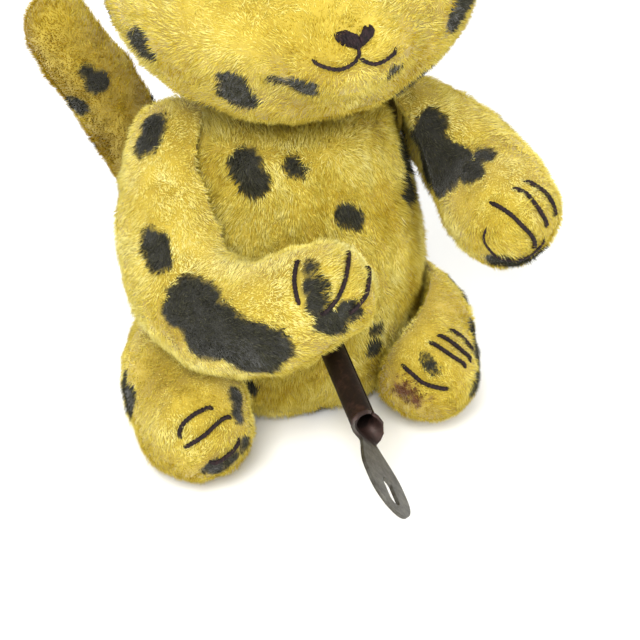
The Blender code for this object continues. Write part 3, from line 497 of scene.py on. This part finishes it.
def seat_cloth():
    """Plain-woven cotton twill over board, threads 0.7 mm apart, dull gold."""
    look, tree, shader = new_material("woven cotton, dull gold", "#8E7B3A", 0.92, Sheen_Weight=0.2)
    place = object_place(tree)
    threads = {"Vector": place, "Scale": 0.314 / (0.7 * MM), "Distortion": 0.6}
    warp = add_node(tree, "ShaderNodeTexWave", threads, bands_direction="X").outputs["Fac"]
    weft = add_node(tree, "ShaderNodeTexWave", threads, bands_direction="Y").outputs["Fac"]
    cross = add_node(tree, "ShaderNodeMath", {0: warp, 1: weft}, operation="MULTIPLY")
    tone = ramp(tree, cross.outputs["Value"], ((0.0, "#6F5F28"), (0.8, "#A3904A")))
    tree.links.new(tone, shader.inputs["Base Color"])
    bump(tree, shader, cross.outputs["Value"], 0.15)
    return look


def glass_iris(name, centre, outwards):
    """Blown glass eye painted from behind: black pupil, amber iris, dark rim, under clear glass."""
    look, tree, shader = new_material(name, "#8A4A0C", 0.08, Coat_Weight=1.0, Coat_Roughness=0.03)
    turn = Vector(outwards).normalized().to_track_quat("Z", "Y").to_matrix().inverted().to_euler()
    local = -(turn.to_matrix() @ Vector(centre))
    flat = add_node(tree, "ShaderNodeMapping", {"Vector": object_place(tree), "Location": local,
                                                "Rotation": turn})
    parts = add_node(tree, "ShaderNodeSeparateXYZ", {"Vector": flat.outputs["Vector"]})
    face = add_node(tree, "ShaderNodeCombineXYZ", {"X": parts.outputs["X"], "Y": parts.outputs["Y"]})
    reach = add_node(tree, "ShaderNodeVectorMath", {0: face.outputs["Vector"]}, operation="LENGTH")
    share = add_node(tree, "ShaderNodeMath", {0: reach.outputs["Value"], 1: 1 / (6 * MM)},
                     operation="MULTIPLY")
    streaks = noise(tree, flat.outputs["Vector"], 0.8)
    wavy = add_node(tree, "ShaderNodeMath", {0: streaks, 1: 0.08, 2: share.outputs["Value"]},
                    operation="MULTIPLY_ADD")
    tone = ramp(tree, wavy.outputs["Value"], ((0.0, "#050403"), (0.46, "#050403"), (0.50, "#4E2604"),
                                              (0.64, "#96540E"), (0.74, "#5E3006"), (0.80, "#0A0604")))
    tree.links.new(tone, shader.inputs["Base Color"])
    return look


def studio_paper():
    """Matt white paper sweep with a barely visible tooth."""
    look, tree, shader = new_material("matt paper", "#F6F6F4", 0.95)
    bump(tree, shader, noise(tree, object_place(tree), 2), 0.02)
    return look


# --- plush covers --------------------------------------------------------------------------
def sewn_on(node):
    """Every line of thread on one cover, claws first."""
    return CLAW_LINES.get(node, ()) + PAD_LINES.get(node, ())


def spot_share(points, node, scattered=()):
    """How far each point (mm) lies in a printed spot: 1 inside, 0 outside, ragged at the edge."""
    share = np.zeros(len(points))
    ragged = 0.10 * ripple(points, 8.0, SEED + 1) + 0.04 * ripple(points, 2.6, SEED + 2)
    for balls in tuple(SPOTS.get(node, ())) + tuple(scattered):
        for x, y, z, radius in balls:
            reach = np.linalg.norm(points - np.array((x, y, z)), axis=1) / radius
            share = np.maximum(share, np.clip((1.12 - reach + ragged) / 0.12, 0, 1))
    return share


def stain_share(points, node):
    """How far each point (mm) lies in a rust stain."""
    share = np.zeros(len(points))
    for x, y, z, radius in STAINS.get(node, ()):
        reach = np.linalg.norm(points - np.array((x, y, z)), axis=1) / radius
        share = np.maximum(share, np.clip((1.1 - reach + 0.3 * ripple(points, 3.0, 31)) / 0.6, 0, 1))
    return share


def scatter_spots(points, normals, node, draw):
    """Spots for the sides that the listed spots leave bare: spaced out, each of two balls."""
    centres = [np.array(ball[:3]) for balls in SPOTS.get(node, ()) for ball in balls]
    lines = [np.array(point) for line in sewn_on(node) for point in line]
    made = []
    bare = {"head_cover": 0.35, "arm_right": -0.2, "arm_left": -0.2}.get(node, 0.0)
    open_side = normals @ np.array(FRONT) < bare
    if node in ("arm_right", "arm_left"):
        # only on the outer half of an arm
        open_side &= np.abs(points[:, 0]) > 40
    if node == "head_cover":
        # all over the crown, but not on the face
        open_side |= points[:, 2] > 172
        open_side &= ~((np.abs(points[:, 0]) < 30) & (points[:, 1] < -40) & (points[:, 2] < 176))
    allowed = np.flatnonzero(open_side)
    for index in draw.permutation(allowed)[:4000]:
        place = points[index]
        if any(np.linalg.norm(place - other) < SPOT_SPACING for other in centres):
            continue
        if any(np.linalg.norm(place - other) < LINE_SPACING for other in lines):
            continue
        radius = draw.uniform(4.0, 7.0)
        shift = draw.normal(size=3)
        shift -= normals[index] * (shift @ normals[index])
        shift *= radius * 0.9 / np.linalg.norm(shift)
        second = place + shift
        made.append(((*place, radius), (*second, radius * draw.uniform(0.5, 0.8))))
        centres += [place, second]
    return made


def make_cover(node, voxel_mm):
    """The stuffed cloth of one plush part, grown from its CAD solid: remeshed, softened, lumped."""
    source = frame["nodes"][node]
    cover = bpy.data.objects.new(f"{node}_plush", source.data.copy())
    bpy.context.collection.objects.link(cover)
    cover.data.materials.clear()
    select_only(cover)
    bpy.ops.object.mode_set(mode="EDIT")
    bpy.ops.mesh.select_all(action="SELECT")
    bpy.ops.mesh.remove_doubles(threshold=0.02 * MM)
    bpy.ops.object.mode_set(mode="OBJECT")
    weave = cover.modifiers.new("remesh", "REMESH")
    weave.mode = "VOXEL"
    weave.voxel_size = voxel_mm * MM
    soften = cover.modifiers.new("soften", "SMOOTH")
    soften.factor = 0.5
    soften.iterations = 10
    apply_all(cover)
    shape_cloth(cover, node)
    bpy.ops.object.shade_smooth()
    return cover


def shape_cloth(cover, node):
    """Uneven stuffing and pressed seams, as small moves along the normals."""
    mesh = cover.data
    places = vertex_array(mesh) / MM
    normals = vertex_array(mesh, "normal")
    move = 0.5 * ripple(places, 30.0, SEED + 11) + 0.22 * ripple(places, 11.0, SEED + 12)
    move -= CLOTH_INSET
    for lines, steps, (depth, width) in ((SEAMS.get(node, ()), 4, SEAM_GROOVE),
                                         (sewn_on(node), 3, STITCH_GROOVE)):
        for line in lines:
            gap, _ = distance_to_line(places, smooth_line(line, steps))
            move -= depth * np.exp(-(gap / width) ** 2)
    if node == "torso_cover":
        # the seat ring and the mouth of the key hole stay where the CAD has them
        move *= np.clip((places[:, 2] - 1.5) / 6.0, 0, 1)
    places += normals * move[:, None]
    if node.startswith("ear"):
        shape_ear(places, normals)
    mesh.vertices.foreach_set("co", (places * MM).astype(np.float32).ravel())
    mesh.update()


def shape_ear(places, normals):
    """Sew an ear down onto the skull and hollow its front."""
    skull, radii = np.array(HEAD_CENTRE), np.array(HEAD_RADII)
    inwards = skull - places
    reach = np.linalg.norm(inwards / radii, axis=1)
    height = (reach - 1) * radii.mean()
    inwards /= np.linalg.norm(inwards, axis=1)[:, None]
    places += inwards * (6.0 * np.clip(1 - height / 12.0, 0, 1))[:, None]
    middle = places.mean(0)
    from_middle = np.hypot(places[:, 0] - middle[0], places[:, 2] - middle[2])
    hollow = np.clip(1 - (from_middle / 13.0) ** 2, 0, 1) * (normals[:, 1] < -0.3)
    places[:, 1] += 3.5 * hollow


def paint_cover(cover, node, scattered):
    """Store the printed spots and stains on the cloth as attributes."""
    places = vertex_array(cover.data) / MM
    for name, share in (("spot", spot_share(places, node, scattered)),
                        ("stain", stain_share(places, node))):
        layer = cover.data.attributes.new(name, "FLOAT", "POINT")
        layer.data.foreach_set("value", share.astype(np.float32))


# --- pile ----------------------------------------------------------------------------------
def sample_cloth(cover, count, draw):
    """Random places (mm) on a cover, evenly by area, with smooth normals."""
    mesh = cover.data
    mesh.calc_loop_triangles()
    corners = np.empty(len(mesh.loop_triangles) * 3, np.int32)
    mesh.loop_triangles.foreach_get("vertices", corners)
    corners = corners.reshape(-1, 3)
    places = vertex_array(mesh) / MM
    normals = vertex_array(mesh, "normal")
    a, b, c = places[corners[:, 0]], places[corners[:, 1]], places[corners[:, 2]]
    areas = np.linalg.norm(np.cross(b - a, c - a), axis=1) / 2
    total = areas.sum()
    picks = draw.choice(len(areas), size=int(count * total), p=areas / total)
    u, v = draw.random(len(picks)), draw.random(len(picks))
    over = u + v > 1
    u[over], v[over] = 1 - u[over], 1 - v[over]
    w = 1 - u - v
    roots = w[:, None] * a[picks] + u[:, None] * b[picks] + v[:, None] * c[picks]
    ways = sum(share[:, None] * normals[corners[picks, corner]]
               for share, corner in ((w, 0), (u, 1), (v, 2)))
    ways /= np.linalg.norm(ways, axis=1)[:, None]
    return roots, ways


def from_shoulder(roots):
    """Distance (mm) from the line through both arm shafts."""
    return np.hypot(roots[:, 1] - SHOULDER[1], roots[:, 2] - SHOULDER[2])


def bare_cloth(roots, normals, node):
    """Where no pile grows: under the seat, inside the torso, in the keyhole, round the neck and on the
    shoulder discs.
    """
    bare = roots[:, 2] < HEM
    if node == "torso_cover":
        middle = np.column_stack((roots[:, 0], roots[:, 1], np.zeros(len(roots))))
        inward = (middle * normals).sum(1) < -2.0
        deep = np.linalg.norm(middle[:, :2], axis=1) < 15
        bare |= inward | (deep & (normals[:, 2] < 0.2))
        way = np.array((0, -math.cos(KEY_LEAN), -math.sin(KEY_LEAN)))
        from_key = roots - np.array(KEY_CENTRE)
        off = np.linalg.norm(from_key - (from_key @ way)[:, None] * way, axis=1)
        bare |= (off < KEY_ROLL_RADIUS + 1.5) & (roots[:, 1] < -20)
        bare |= (np.abs(roots[:, 0]) < 22) & (roots[:, 2] > NECK_Z - 1.3)
    if node in ("arm_right", "arm_left"):
        inner = (np.abs(roots[:, 0]) < SHOULDER[0] + 2.5) & (np.abs(normals[:, 0]) > 0.8)
        bare |= inner & (from_shoulder(roots) < SHOULDER_DISC_RADIUS)
    if node == "head_cover":
        bare |= (roots[:, 2] < 108) & (np.hypot(roots[:, 0], roots[:, 1]) < 17)
    return bare


def grow_pile(cover, node, settings, tones, scattered):
    """Thousands of fibres on one cover: each a thin closed spike, brushed along the comb line."""
    info = COVERS[node]
    draw = np.random.default_rng(SEED + sum(map(ord, node)))
    roots, normals = sample_cloth(cover, settings.pile_density * info["density"], draw)
    keep = ~bare_cloth(roots, normals, node)
    roots, normals = roots[keep], normals[keep]
    count = len(roots)

    _, comb = distance_to_line(roots, info["comb"])
    if node == "torso_cover":
        comb = comb + 0.5 * normals * np.array((1, 1, 0))
    swirl = np.column_stack([ripple(roots, 19.0, SEED + 20 + i) for i in range(3)])
    tuft = np.column_stack([ripple(roots, 3.2, SEED + 30 + i) for i in range(3)])
    comb = comb + 0.45 * swirl + 0.3 * tuft + 0.2 * draw.normal(size=(count, 3))
    # the pile at a shoulder is brushed across the joint, so that it closes over the board disc
    at_joint = np.clip((4.5 - np.abs(np.abs(roots[:, 0]) - SHOULDER[0])) / 3.0, 0, 1)
    at_joint *= np.clip((19.0 - from_shoulder(roots)) / 3.0, 0, 1)
    at_joint *= node in ("arm_right", "arm_left", "torso_cover")
    across_joint = np.sign(SHOULDER[0] - np.abs(roots[:, 0])) * np.sign(roots[:, 0])
    comb[:, 0] += 2.5 * at_joint * across_joint
    # round the neck the pile of head and torso is brushed towards each other
    at_neck = np.clip((34.0 - np.hypot(roots[:, 0], roots[:, 1])) / 8.0, 0, 1)
    at_neck *= np.clip((9.0 - np.abs(roots[:, 2] - NECK_Z)) / 3.0, 0, 1)
    at_neck *= node in ("head_cover", "torso_cover")
    comb[:, 2] += 2.0 * at_neck * np.sign(NECK_Z - roots[:, 2])
    part = np.full(count, np.inf)
    for line in SEAMS.get(node, ()):
        gap, _ = distance_to_line(roots, smooth_line(line, 4))
        part = np.minimum(part, gap)
    flat = comb - normals * (comb * normals).sum(1)[:, None]
    flat /= np.linalg.norm(flat, axis=1)[:, None] + 1e-9

    lean = np.radians(PILE_LEAN + 8 * ripple(roots, 6.0, SEED + 40) + 7 * draw.normal(size=count))
    lean = np.clip(lean - 0.35 * at_joint - 0.5 * at_neck,
                   np.radians(LEAST_LEAN), np.radians(MOST_LEAN))
    length = settings.pile_length / MM * info["length"] * (0.85 + 0.2 * ripple(roots, 9.0, SEED + 41))
    length = length * draw.uniform(0.62, 1.15, count)
    length *= np.clip(0.45 + part / 4.0, 0.45, 1.0)
    for line in sewn_on(node):
        gap, _ = distance_to_line(roots, smooth_line(line, 4))
        length *= np.clip(0.1 + gap / 3.0, 0.2, 1.0)
        lean = np.where(gap < 1.8, np.radians(MOST_LEAN), lean)
    length *= np.where(roots[:, 2] < 5, 0.55, 1.0)

    way = normals * np.cos(lean)[:, None] + flat * np.sin(lean)[:, None]
    side = np.cross(normals, flat)
    across = np.cross(way, side)
    width = settings.fibre_width / MM * draw.uniform(0.75, 1.25, count) / 2
    base = roots - normals * ROOT_DEPTH
    places = np.empty((count, 4, 3))
    places[:, 0] = base + side * width[:, None]
    places[:, 1] = base - side * width[:, None]
    places[:, 2] = base + across * (width * 0.8)[:, None]
    places[:, 3] = roots + way * length[:, None]
    # keep tips out of the surface the toy sits on
    places[:, :, 2] = np.maximum(places[:, :, 2], TABLE_GAP)

    tone = 2.4 + 1.5 * info["tone"] + 0.65 * ripple(roots, 26.0, SEED + 50)
    tone += 0.35 * ripple(roots, 4.5, SEED + 51) + 0.7 * draw.normal(size=count)
    # painted light: longer fibres and fibres on upward-facing cloth take paler gold tones, as if their
    # tips and tops were lit
    tone += 0.8 * (length / length.mean() - 1) + 0.5 * normals[:, 2]
    index = np.clip(np.round(tone), 0, len(GOLD_TONES) - 1).astype(int)
    spot = spot_share(roots + normals, node, scattered)
    dark = draw.random(count) < spot
    # painted highlight: longer dark fibres take paler olive tones, as if their tips were lit
    shade = 1.4 + 0.7 * draw.normal(size=count) + 0.6 * (length / length.mean() - 1)
    dark_index = len(GOLD_TONES) + np.clip(np.round(shade), 0, len(SPOT_TONES) - 1).astype(int)
    index = np.where(dark, dark_index, index)
    rusty = draw.random(count) < stain_share(roots, node)
    rust_index = len(GOLD_TONES) + len(SPOT_TONES) + draw.integers(0, len(STAIN_TONES), count)
    index = np.where(rusty, rust_index, index)

    groups = split_pile(roots, settings.fibres_per_piece)
    for number, rows in enumerate(groups, 1):
        fibre_piece(f"{node}_pile_{number}", places[rows], index[rows], info["body"], tones)


def split_pile(roots, most):
    """Cut a cover's fibres into pieces by height, so that none holds too many."""
    order = np.argsort(roots[:, 2], kind="stable")
    pieces = max(1, math.ceil(len(order) / most))
    return np.array_split(order, pieces)


def fibre_piece(name, places, tones_index, body, tones):
    """One mesh of closed three-sided spikes."""
    count = len(places)
    mesh = bpy.data.meshes.new(name)
    mesh.vertices.add(count * 4)
    mesh.vertices.foreach_set("co", (places * MM).astype(np.float32).ravel())
    faces = np.array((0, 1, 3, 1, 2, 3, 2, 0, 3, 0, 2, 1), np.int32)
    corners = (np.arange(count, dtype=np.int32)[:, None] * 4 + faces).ravel()
    mesh.loops.add(len(corners))
    mesh.loops.foreach_set("vertex_index", corners)
    mesh.polygons.add(count * 4)
    mesh.polygons.foreach_set("loop_start", np.arange(count * 4, dtype=np.int32) * 3)
    mesh.update(calc_edges=True)
    piece = bpy.data.objects.new(name, mesh)
    bpy.context.collection.objects.link(piece)
    dress(piece, name, body, "plush", *tones)
    mesh.polygons.foreach_set("material_index", np.repeat(tones_index, 4).astype(np.int32))


# --- embroidery ----------------------------------------------------------------------------
def lay_on(tree, points, rise):
    """Points (mm) moved onto the cloth's surface and lifted off it by rise."""
    laid = []
    for point in points:
        place, normal, _, _ = tree.find_nearest(Vector(point) * MM)
        laid.append((place / MM + normal * rise, normal))
    return laid


def eased(laid, rounds):
    """A laid line with its small steps smoothed out, its two ends kept."""
    for _ in range(rounds):
        places = [place for place, _ in laid]
        middle = [(a + 2 * b + c) / 4 for a, b, c in zip(places, places[1:], places[2:])]
        places = [places[0], *middle, places[-1]]
        laid = [(place, normal) for place, (_, normal) in zip(places, laid)]
    return laid


def sew(name, body, tree, line, kind, look, extra_rise=0.0):
    """Two plies twisted round each other along a line, ends tucked into the cloth."""
    radius, pitch, rise = kind
    laid = eased(lay_on(tree, line, rise + extra_rise), 30)
    total = [0.0]
    for (before, _), (after, _) in zip(laid, laid[1:]):
        total.append(total[-1] + (after - before).length)
    curve = bpy.data.curves.new(name, "CURVE")
    curve.dimensions = "3D"
    curve.bevel_depth = radius * MM
    curve.bevel_resolution = 1
    curve.use_fill_caps = True
    for ply in (0, math.pi):
        spline = curve.splines.new("POLY")
        spline.points.add(len(laid) - 1)
        for number, (place, normal) in enumerate(laid):
            before = laid[max(number - 1, 0)][0]
            after = laid[min(number + 1, len(laid) - 1)][0]
            along = (after - before).normalized()
            side = along.cross(normal).normalized()
            turn = 2 * math.pi * total[number] / pitch + ply
            ends = min(total[number], total[-1] - total[number])
            tuck = max(0.0, THREAD_TUCK - ends)
            off_axis = (side * math.cos(turn) + normal * math.sin(turn)) * radius * 0.5
            spot = place + off_axis - normal * tuck
            spline.points[number].co = (*(spot * MM), 1.0)
    thread = bpy.data.objects.new(name, curve)
    bpy.context.collection.objects.link(thread)
    select_only(thread)
    bpy.ops.object.convert(target="MESH")
    bpy.ops.object.shade_smooth()
    return dress(bpy.context.object, name, body, "nose_thread", look)


def sew_lines(node, cover, look):
    """Claw lines and pad outline of one paw, as twisted thread sewn through the pile."""
    tree = surface_tree(cover)
    for number, line in enumerate(sewn_on(node), 1):
        kind = PAD_THREAD if line in PAD_LINES.get(node, ()) else CLAW_THREAD
        sew(f"claw_thread_{node}_{number}", COVERS[node]["body"], tree, smooth_line(line, 14),
            kind, look)


# --- key -----------------------------------------------------------------------------------
def key_section(along):
    """Half width, roll and drop of the key's strip (mm, radians) at a distance from its mouth."""
    rolled = math.pi * KEY_ROLL_RADIUS - 0.35
    if along <= KEY_TUBE:
        return rolled, rolled / KEY_ROLL_RADIUS, KEY_ROLL_RADIUS
    if along <= KEY_TUBE + KEY_NECK:
        share = (along - KEY_TUBE) / KEY_NECK
        ease = share * share * (3 - 2 * share)
        half = rolled + (KEY_NECK_HALF - rolled) * ease
        drop = KEY_ROLL_RADIUS * (1 - share) + KEY_BOW_DROP * share
        return half, (1 - ease) ** 2 * half / KEY_ROLL_RADIUS, drop
    share = (along - KEY_TUBE - KEY_NECK) / KEY_BOW
    swell = math.sqrt(max(0.0, 1 - (max(0.0, share - 0.62) / 0.38) ** 2))
    rise = min(1.0, share / 0.5)
    half = KEY_NECK_HALF + (KEY_BOW_HALF - KEY_NECK_HALF) * math.sin(rise * math.pi / 2) ** 1.3
    return max(half * swell, 0.8), 0.0, KEY_BOW_DROP


def make_key():
    """The rolled tube, opened neck and flat bow from one strip of sheet, with its slot and edges."""
    length = KEY_TUBE + KEY_NECK + KEY_BOW
    key = primitive("grid", x_subdivisions=KEY_COLUMNS, y_subdivisions=KEY_ROWS, size=2)
    for vertex in key.data.vertices:
        across, run = vertex.co.x, (1 - vertex.co.y) / 2
        # finer rows towards the round tip
        along = length * math.sin(run * math.pi / 2) ** 0.9 if run < 1 else length
        half, roll, drop = key_section(along)
        offset = half * across
        if roll > 1e-3:
            radius = half / roll
            x, z = radius * math.sin(offset / radius), radius * (1 - math.cos(offset / radius)) - drop
        else:
            x, z = offset, -drop
        vertex.co = Vector((x, -KEY_START - along, z)) * MM
    sheet = key.modifiers.new("sheet", "SOLIDIFY")
    sheet.thickness = KEY_SHEET * MM
    sheet.offset = 0.0
    middle, half_width, half_length = KEY_SLOT
    cutter = primitive("cylinder", vertices=32, radius=half_width * MM, depth=8 * MM)
    for vertex in cutter.data.vertices:
        vertex.co.y += math.copysign(half_length - half_width, vertex.co.y) * MM
        vertex.co.y -= (KEY_START + KEY_TUBE + KEY_NECK + middle) * MM
    slot = key.modifiers.new("slot", "BOOLEAN")
    slot.operation = "DIFFERENCE"
    slot.object = cutter
    edge = key.modifiers.new("stamped edge", "BEVEL")
    edge.width = KEY_EDGE * MM
    edge.segments = 2
    edge.limit_method = "ANGLE"
    edge.angle_limit = math.radians(50)
    apply_all(key)
    bpy.data.objects.remove(cutter)
    key.matrix_world = (Matrix.Translation(Vector(KEY_CENTRE) * MM) @ Matrix.Rotation(KEY_LEAN, 4, "X")
                        @ Matrix.Rotation(KEY_TURN, 4, "Y"))
    settle(key)
    bpy.ops.object.shade_smooth_by_angle(angle=math.radians(40))
    return key


# --- face and seat -------------------------------------------------------------------------
def make_eye(side):
    """A domed glass eye in a dark felt ring."""
    low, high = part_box(f"eye_{side}")
    middle = (low + high) / 2
    outwards = (middle - Vector(HEAD_CENTRE) * MM).normalized()
    turn = outwards.to_track_quat("Z", "Y").to_euler()
    radius = (high.z - low.z) / 2
    eye = primitive("uv_sphere", segments=48, ring_count=24, radius=1.0)
    eye.scale = (radius, radius, radius * EYE_DOME)
    eye.rotation_euler = turn
    eye.location = middle
    settle(eye)
    bpy.ops.object.shade_smooth()
    dress(eye, f"glass_eye_{side}", "head", "glass_eye",
          glass_iris(f"blown glass eye, {side}", middle, outwards))
    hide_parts(f"eye_{side}")
    lid = primitive("torus", major_radius=radius * EYE_RING[0],
                    minor_radius=radius * EYE_RING[1], major_segments=48, minor_segments=12)
    lid.rotation_euler = turn
    lid.location = middle - outwards * radius * 0.05
    settle(lid)
    bpy.ops.object.shade_smooth()
    dress(lid, f"eye_ring_{side}", "head", "nose_thread", claw_thread())


def make_nose(cover, look):
    """Satin-stitched nose and a thread mouth on the muzzle."""
    tree = surface_tree(cover)
    low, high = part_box("nose")
    middle, half = (low + high) / 2 / MM, (high - low) / 2 / MM
    stitches = 13
    for number in range(stitches):
        across = number / (stitches - 1) * 2 - 1
        x = middle.x + across * (half.x - 0.4)
        drop = half.z * (1.0 - 0.55 * abs(across))
        line = [(x, middle.y - 3, middle.z + half.z * 0.75), (x * 0.92, middle.y - 3, middle.z + 0.5),
                (x * 0.75, middle.y - 3, middle.z - drop)]
        sew(f"nose_stitch_{number + 1}", "head", tree, smooth_line(line, 6),
                        NOSE_THREAD, look, 1.3 * (1 - across * across))
    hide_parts("nose")
    chin = middle.z - half.z
    lines = [((0, middle.y, chin + 0.5), (0, middle.y, chin - 4.0)),
             ((0, middle.y, chin - 3.6), (5, middle.y, chin - 6.6), (11, middle.y + 4, chin - 4.2)),
             ((0, middle.y, chin - 3.6), (-5, middle.y, chin - 6.6), (-11, middle.y + 4, chin - 4.2))]
    for number, line in enumerate(lines, 1):
        sew(f"mouth_thread_{number}", "head", tree, smooth_line(line, 10), MOUTH_THREAD, look)


def make_seat():
    """The cloth-covered board under the toy, its edge folded over."""
    low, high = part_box("seat_panel")
    radius, thick = (high.x - low.x) / 2, high.z - low.z
    seat = primitive("cylinder", vertices=96, radius=radius, depth=thick,
                     location=(0, 0, (low.z + high.z) / 2))
    edge = seat.modifiers.new("folded edge", "BEVEL")
    edge.width = SEAT_EDGE * MM
    edge.segments = 4
    apply_all(seat)
    settle(seat)
    bpy.ops.object.shade_smooth_by_angle(angle=math.radians(40))
    dress(seat, "seat_cloth_panel", "torso", "seat_cloth", seat_cloth())
    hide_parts("seat_panel")


# --- operators -----------------------------------------------------------------------------
class LeopardPlush(bpy.types.PropertyGroup):
    """Sizes of the pile."""
    pile_length: FloatProperty(name="Pile length", description="Length of a full fibre",
                               default=3.3 * MM, unit="LENGTH", precision=5)
    fibre_width: FloatProperty(name="Fibre width", description="Width of a fibre at its root",
                               default=0.29 * MM, unit="LENGTH", precision=5)
    pile_density: FloatProperty(name="Pile density", description="Fibres on a square millimetre",
                                default=4.9)
    fibres_per_piece: IntProperty(name="Fibres in a piece", description="Most fibres in one mesh",
                                  default=45000)
    voxel: FloatProperty(name="Cloth step", description="Mesh size of the cloth under the pile",
                         default=2.0 * MM, unit="LENGTH", precision=5)


class LeopardStage(bpy.types.PropertyGroup):
    """Camera and light."""
    distance: FloatProperty(name="Camera distance", description="From the camera to what it looks at",
                            default=0.6, unit="LENGTH")
    azimuth: FloatProperty(name="Camera turn", description="Turn to the toy's right side",
                           default=math.radians(-17), unit="ROTATION")
    elevation: FloatProperty(name="Camera height", description="Angle above the table",
                             default=math.radians(35), unit="ROTATION")
    paper: FloatVectorProperty(name="Surround", description="Colour of the studio round the toy",
                               subtype="COLOR", default=colour("#FFFFFF"))


class LEOPARD_OT_plush(bpy.types.Operator):
    """Make the stuffed covers, their pile and the sewn claw lines"""
    bl_idname = "leopard.plush"
    bl_label = "Plush and claws"

    def execute(self, context):
        settings = context.scene.leopard_plush
        ground, tones, thread = plush_backing(), pile_tones(), claw_thread()
        for node, info in COVERS.items():
            cover = make_cover(node, settings.voxel / MM)
            draw = np.random.default_rng(SEED + 3 + sum(map(ord, node)))
            roots, normals = sample_cloth(cover, 0.5, draw)
            keep = ~bare_cloth(roots, normals, node)
            scattered = scatter_spots(roots[keep], normals[keep], node, draw)
            paint_cover(cover, node, scattered)
            dress(cover, cover.name, info["body"], "plush", ground)
            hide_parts(node)
            grow_pile(cover, node, settings, tones, scattered)
            sew_lines(node, cover, thread)
        return {"FINISHED"}


class LEOPARD_OT_face(bpy.types.Operator):
    """Make the glass eyes, the stitched nose and the mouth"""
    bl_idname = "leopard.face"
    bl_label = "Face"

    def execute(self, context):
        for side in ("right", "left"):
            make_eye(side)
        make_nose(bpy.data.objects["head_cover_plush"], claw_thread())
        return {"FINISHED"}


class LEOPARD_OT_key(bpy.types.Operator):
    """Make the winding key from its rolled strip"""
    bl_idname = "leopard.key"
    bl_label = "Winding key"

    def execute(self, context):
        key = make_key()
        dress(key, "winding_key_strip", "key", "patinated_steel", key_steel())
        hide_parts("winding_key")
        return {"FINISHED"}


class LEOPARD_OT_clockwork(bpy.types.Operator):
    """Give the clockwork its metals and the discs their board, and make the seat"""
    bl_idname = "leopard.clockwork"
    bl_label = "Clockwork and seat"

    def execute(self, context):
        looks = {
            "tinplate": sheet_metal("hot-dipped tinplate", "#8E8E88", "#B9B9B2", 0.3, 0.4),
            "wheel_brass": sheet_metal("stamped brass", "#8A6B2C", "#C9A557", 0.28, 0.3),
            "arbor_steel": sheet_metal("turned steel", "#6C6C6E", "#9A9A9C", 0.25, 0.2),
            "spring_steel": sheet_metal("blued spring steel", "#20283A", "#3B4A66", 0.3, 0.3),
            "fibre_board": fibre_board(),
        }
        for row in frame["record"]["subparts"]:
            if row["material_slot"] in looks:
                node = frame["nodes"][row["node"]]
                for holder in node.material_slots:
                    holder.material = looks[row["material_slot"]]
        make_seat()
        return {"FINISHED"}


class LEOPARD_OT_stage(bpy.types.Operator):
    """Set the paper floor, the soft lights and the camera"""
    bl_idname = "leopard.stage"
    bl_label = "Stage"

    def execute(self, context):
        stage = context.scene.leopard_stage
        floor = primitive("plane", size=12.0, location=(0, 0, 0))
        floor.name = "floor"
        floor.data.materials.append(studio_paper())

        out = Vector((math.sin(stage.azimuth) * math.cos(stage.elevation),
                      -math.cos(stage.azimuth) * math.cos(stage.elevation),
                      math.sin(stage.elevation)))
        right = Vector((math.cos(stage.azimuth), math.sin(stage.azimuth), 0))
        up = out.cross(right)
        torso_middle = Vector((0, 0, 0.05))
        aim = torso_middle + right * AIM_SHIFT[0] + up * AIM_SHIFT[1]
        lens = bpy.data.cameras.new("studio_camera")
        lens.lens = CAMERA_LENS
        camera = bpy.data.objects.new("studio_camera", lens)
        bpy.context.collection.objects.link(camera)
        camera.location = aim + out * stage.distance
        camera.rotation_euler = (-out).to_track_quat("-Z", "Y").to_euler()
        context.scene.camera = camera

        for name, place, size, power in LIGHTS:
            light = bpy.data.lights.new(name, "AREA")
            light.energy = power
            light.size = size
            lamp = bpy.data.objects.new(name, light)
            bpy.context.collection.objects.link(lamp)
            lamp.location = place
            lamp.rotation_euler = (torso_middle - Vector(place)).to_track_quat("-Z", "Y").to_euler()

        world = bpy.data.worlds.new("soft studio")
        world.use_nodes = True
        sky = world.node_tree.nodes["Background"]
        sky.inputs["Color"].default_value = (*stage.paper, 1.0)
        sky.inputs["Strength"].default_value = SURROUND_STRENGTH
        context.scene.world = world
        context.scene.view_settings.view_transform = "Standard"
        return {"FINISHED"}


class LEOPARD_PT_panel(bpy.types.Panel):
    """The steps that dress the leopard, in order"""
    bl_idname = "LEOPARD_PT_panel"
    bl_label = "Wind-up leopard"
    bl_space_type = "VIEW_3D"
    bl_region_type = "UI"
    bl_category = "Leopard"

    def draw(self, context):
        for step in STEPS:
            self.layout.operator(step.bl_idname)
        for group in (context.scene.leopard_plush, context.scene.leopard_stage):
            for name in group.bl_rna.properties.keys():
                if name not in ("rna_type", "name"):
                    self.layout.prop(group, name)


STEPS = (LEOPARD_OT_plush, LEOPARD_OT_face, LEOPARD_OT_key, LEOPARD_OT_clockwork, LEOPARD_OT_stage)
CLASSES = (LeopardPlush, LeopardStage, *STEPS, LEOPARD_PT_panel)


def register():
    """Add the classes and their settings to Blender."""
    for made in CLASSES:
        bpy.utils.register_class(made)
    bpy.types.Scene.leopard_plush = PointerProperty(type=LeopardPlush)
    bpy.types.Scene.leopard_stage = PointerProperty(type=LeopardStage)


def unregister():
    """Take them out again."""
    del bpy.types.Scene.leopard_plush
    del bpy.types.Scene.leopard_stage
    for made in reversed(CLASSES):
        bpy.utils.unregister_class(made)


def main():
    """Run every step."""
    register()
    bpy.ops.leopard.plush()
    bpy.ops.leopard.face()
    bpy.ops.leopard.key()
    bpy.ops.leopard.clockwork()
    bpy.ops.leopard.stage()


if __name__ == "__main__":
    main()
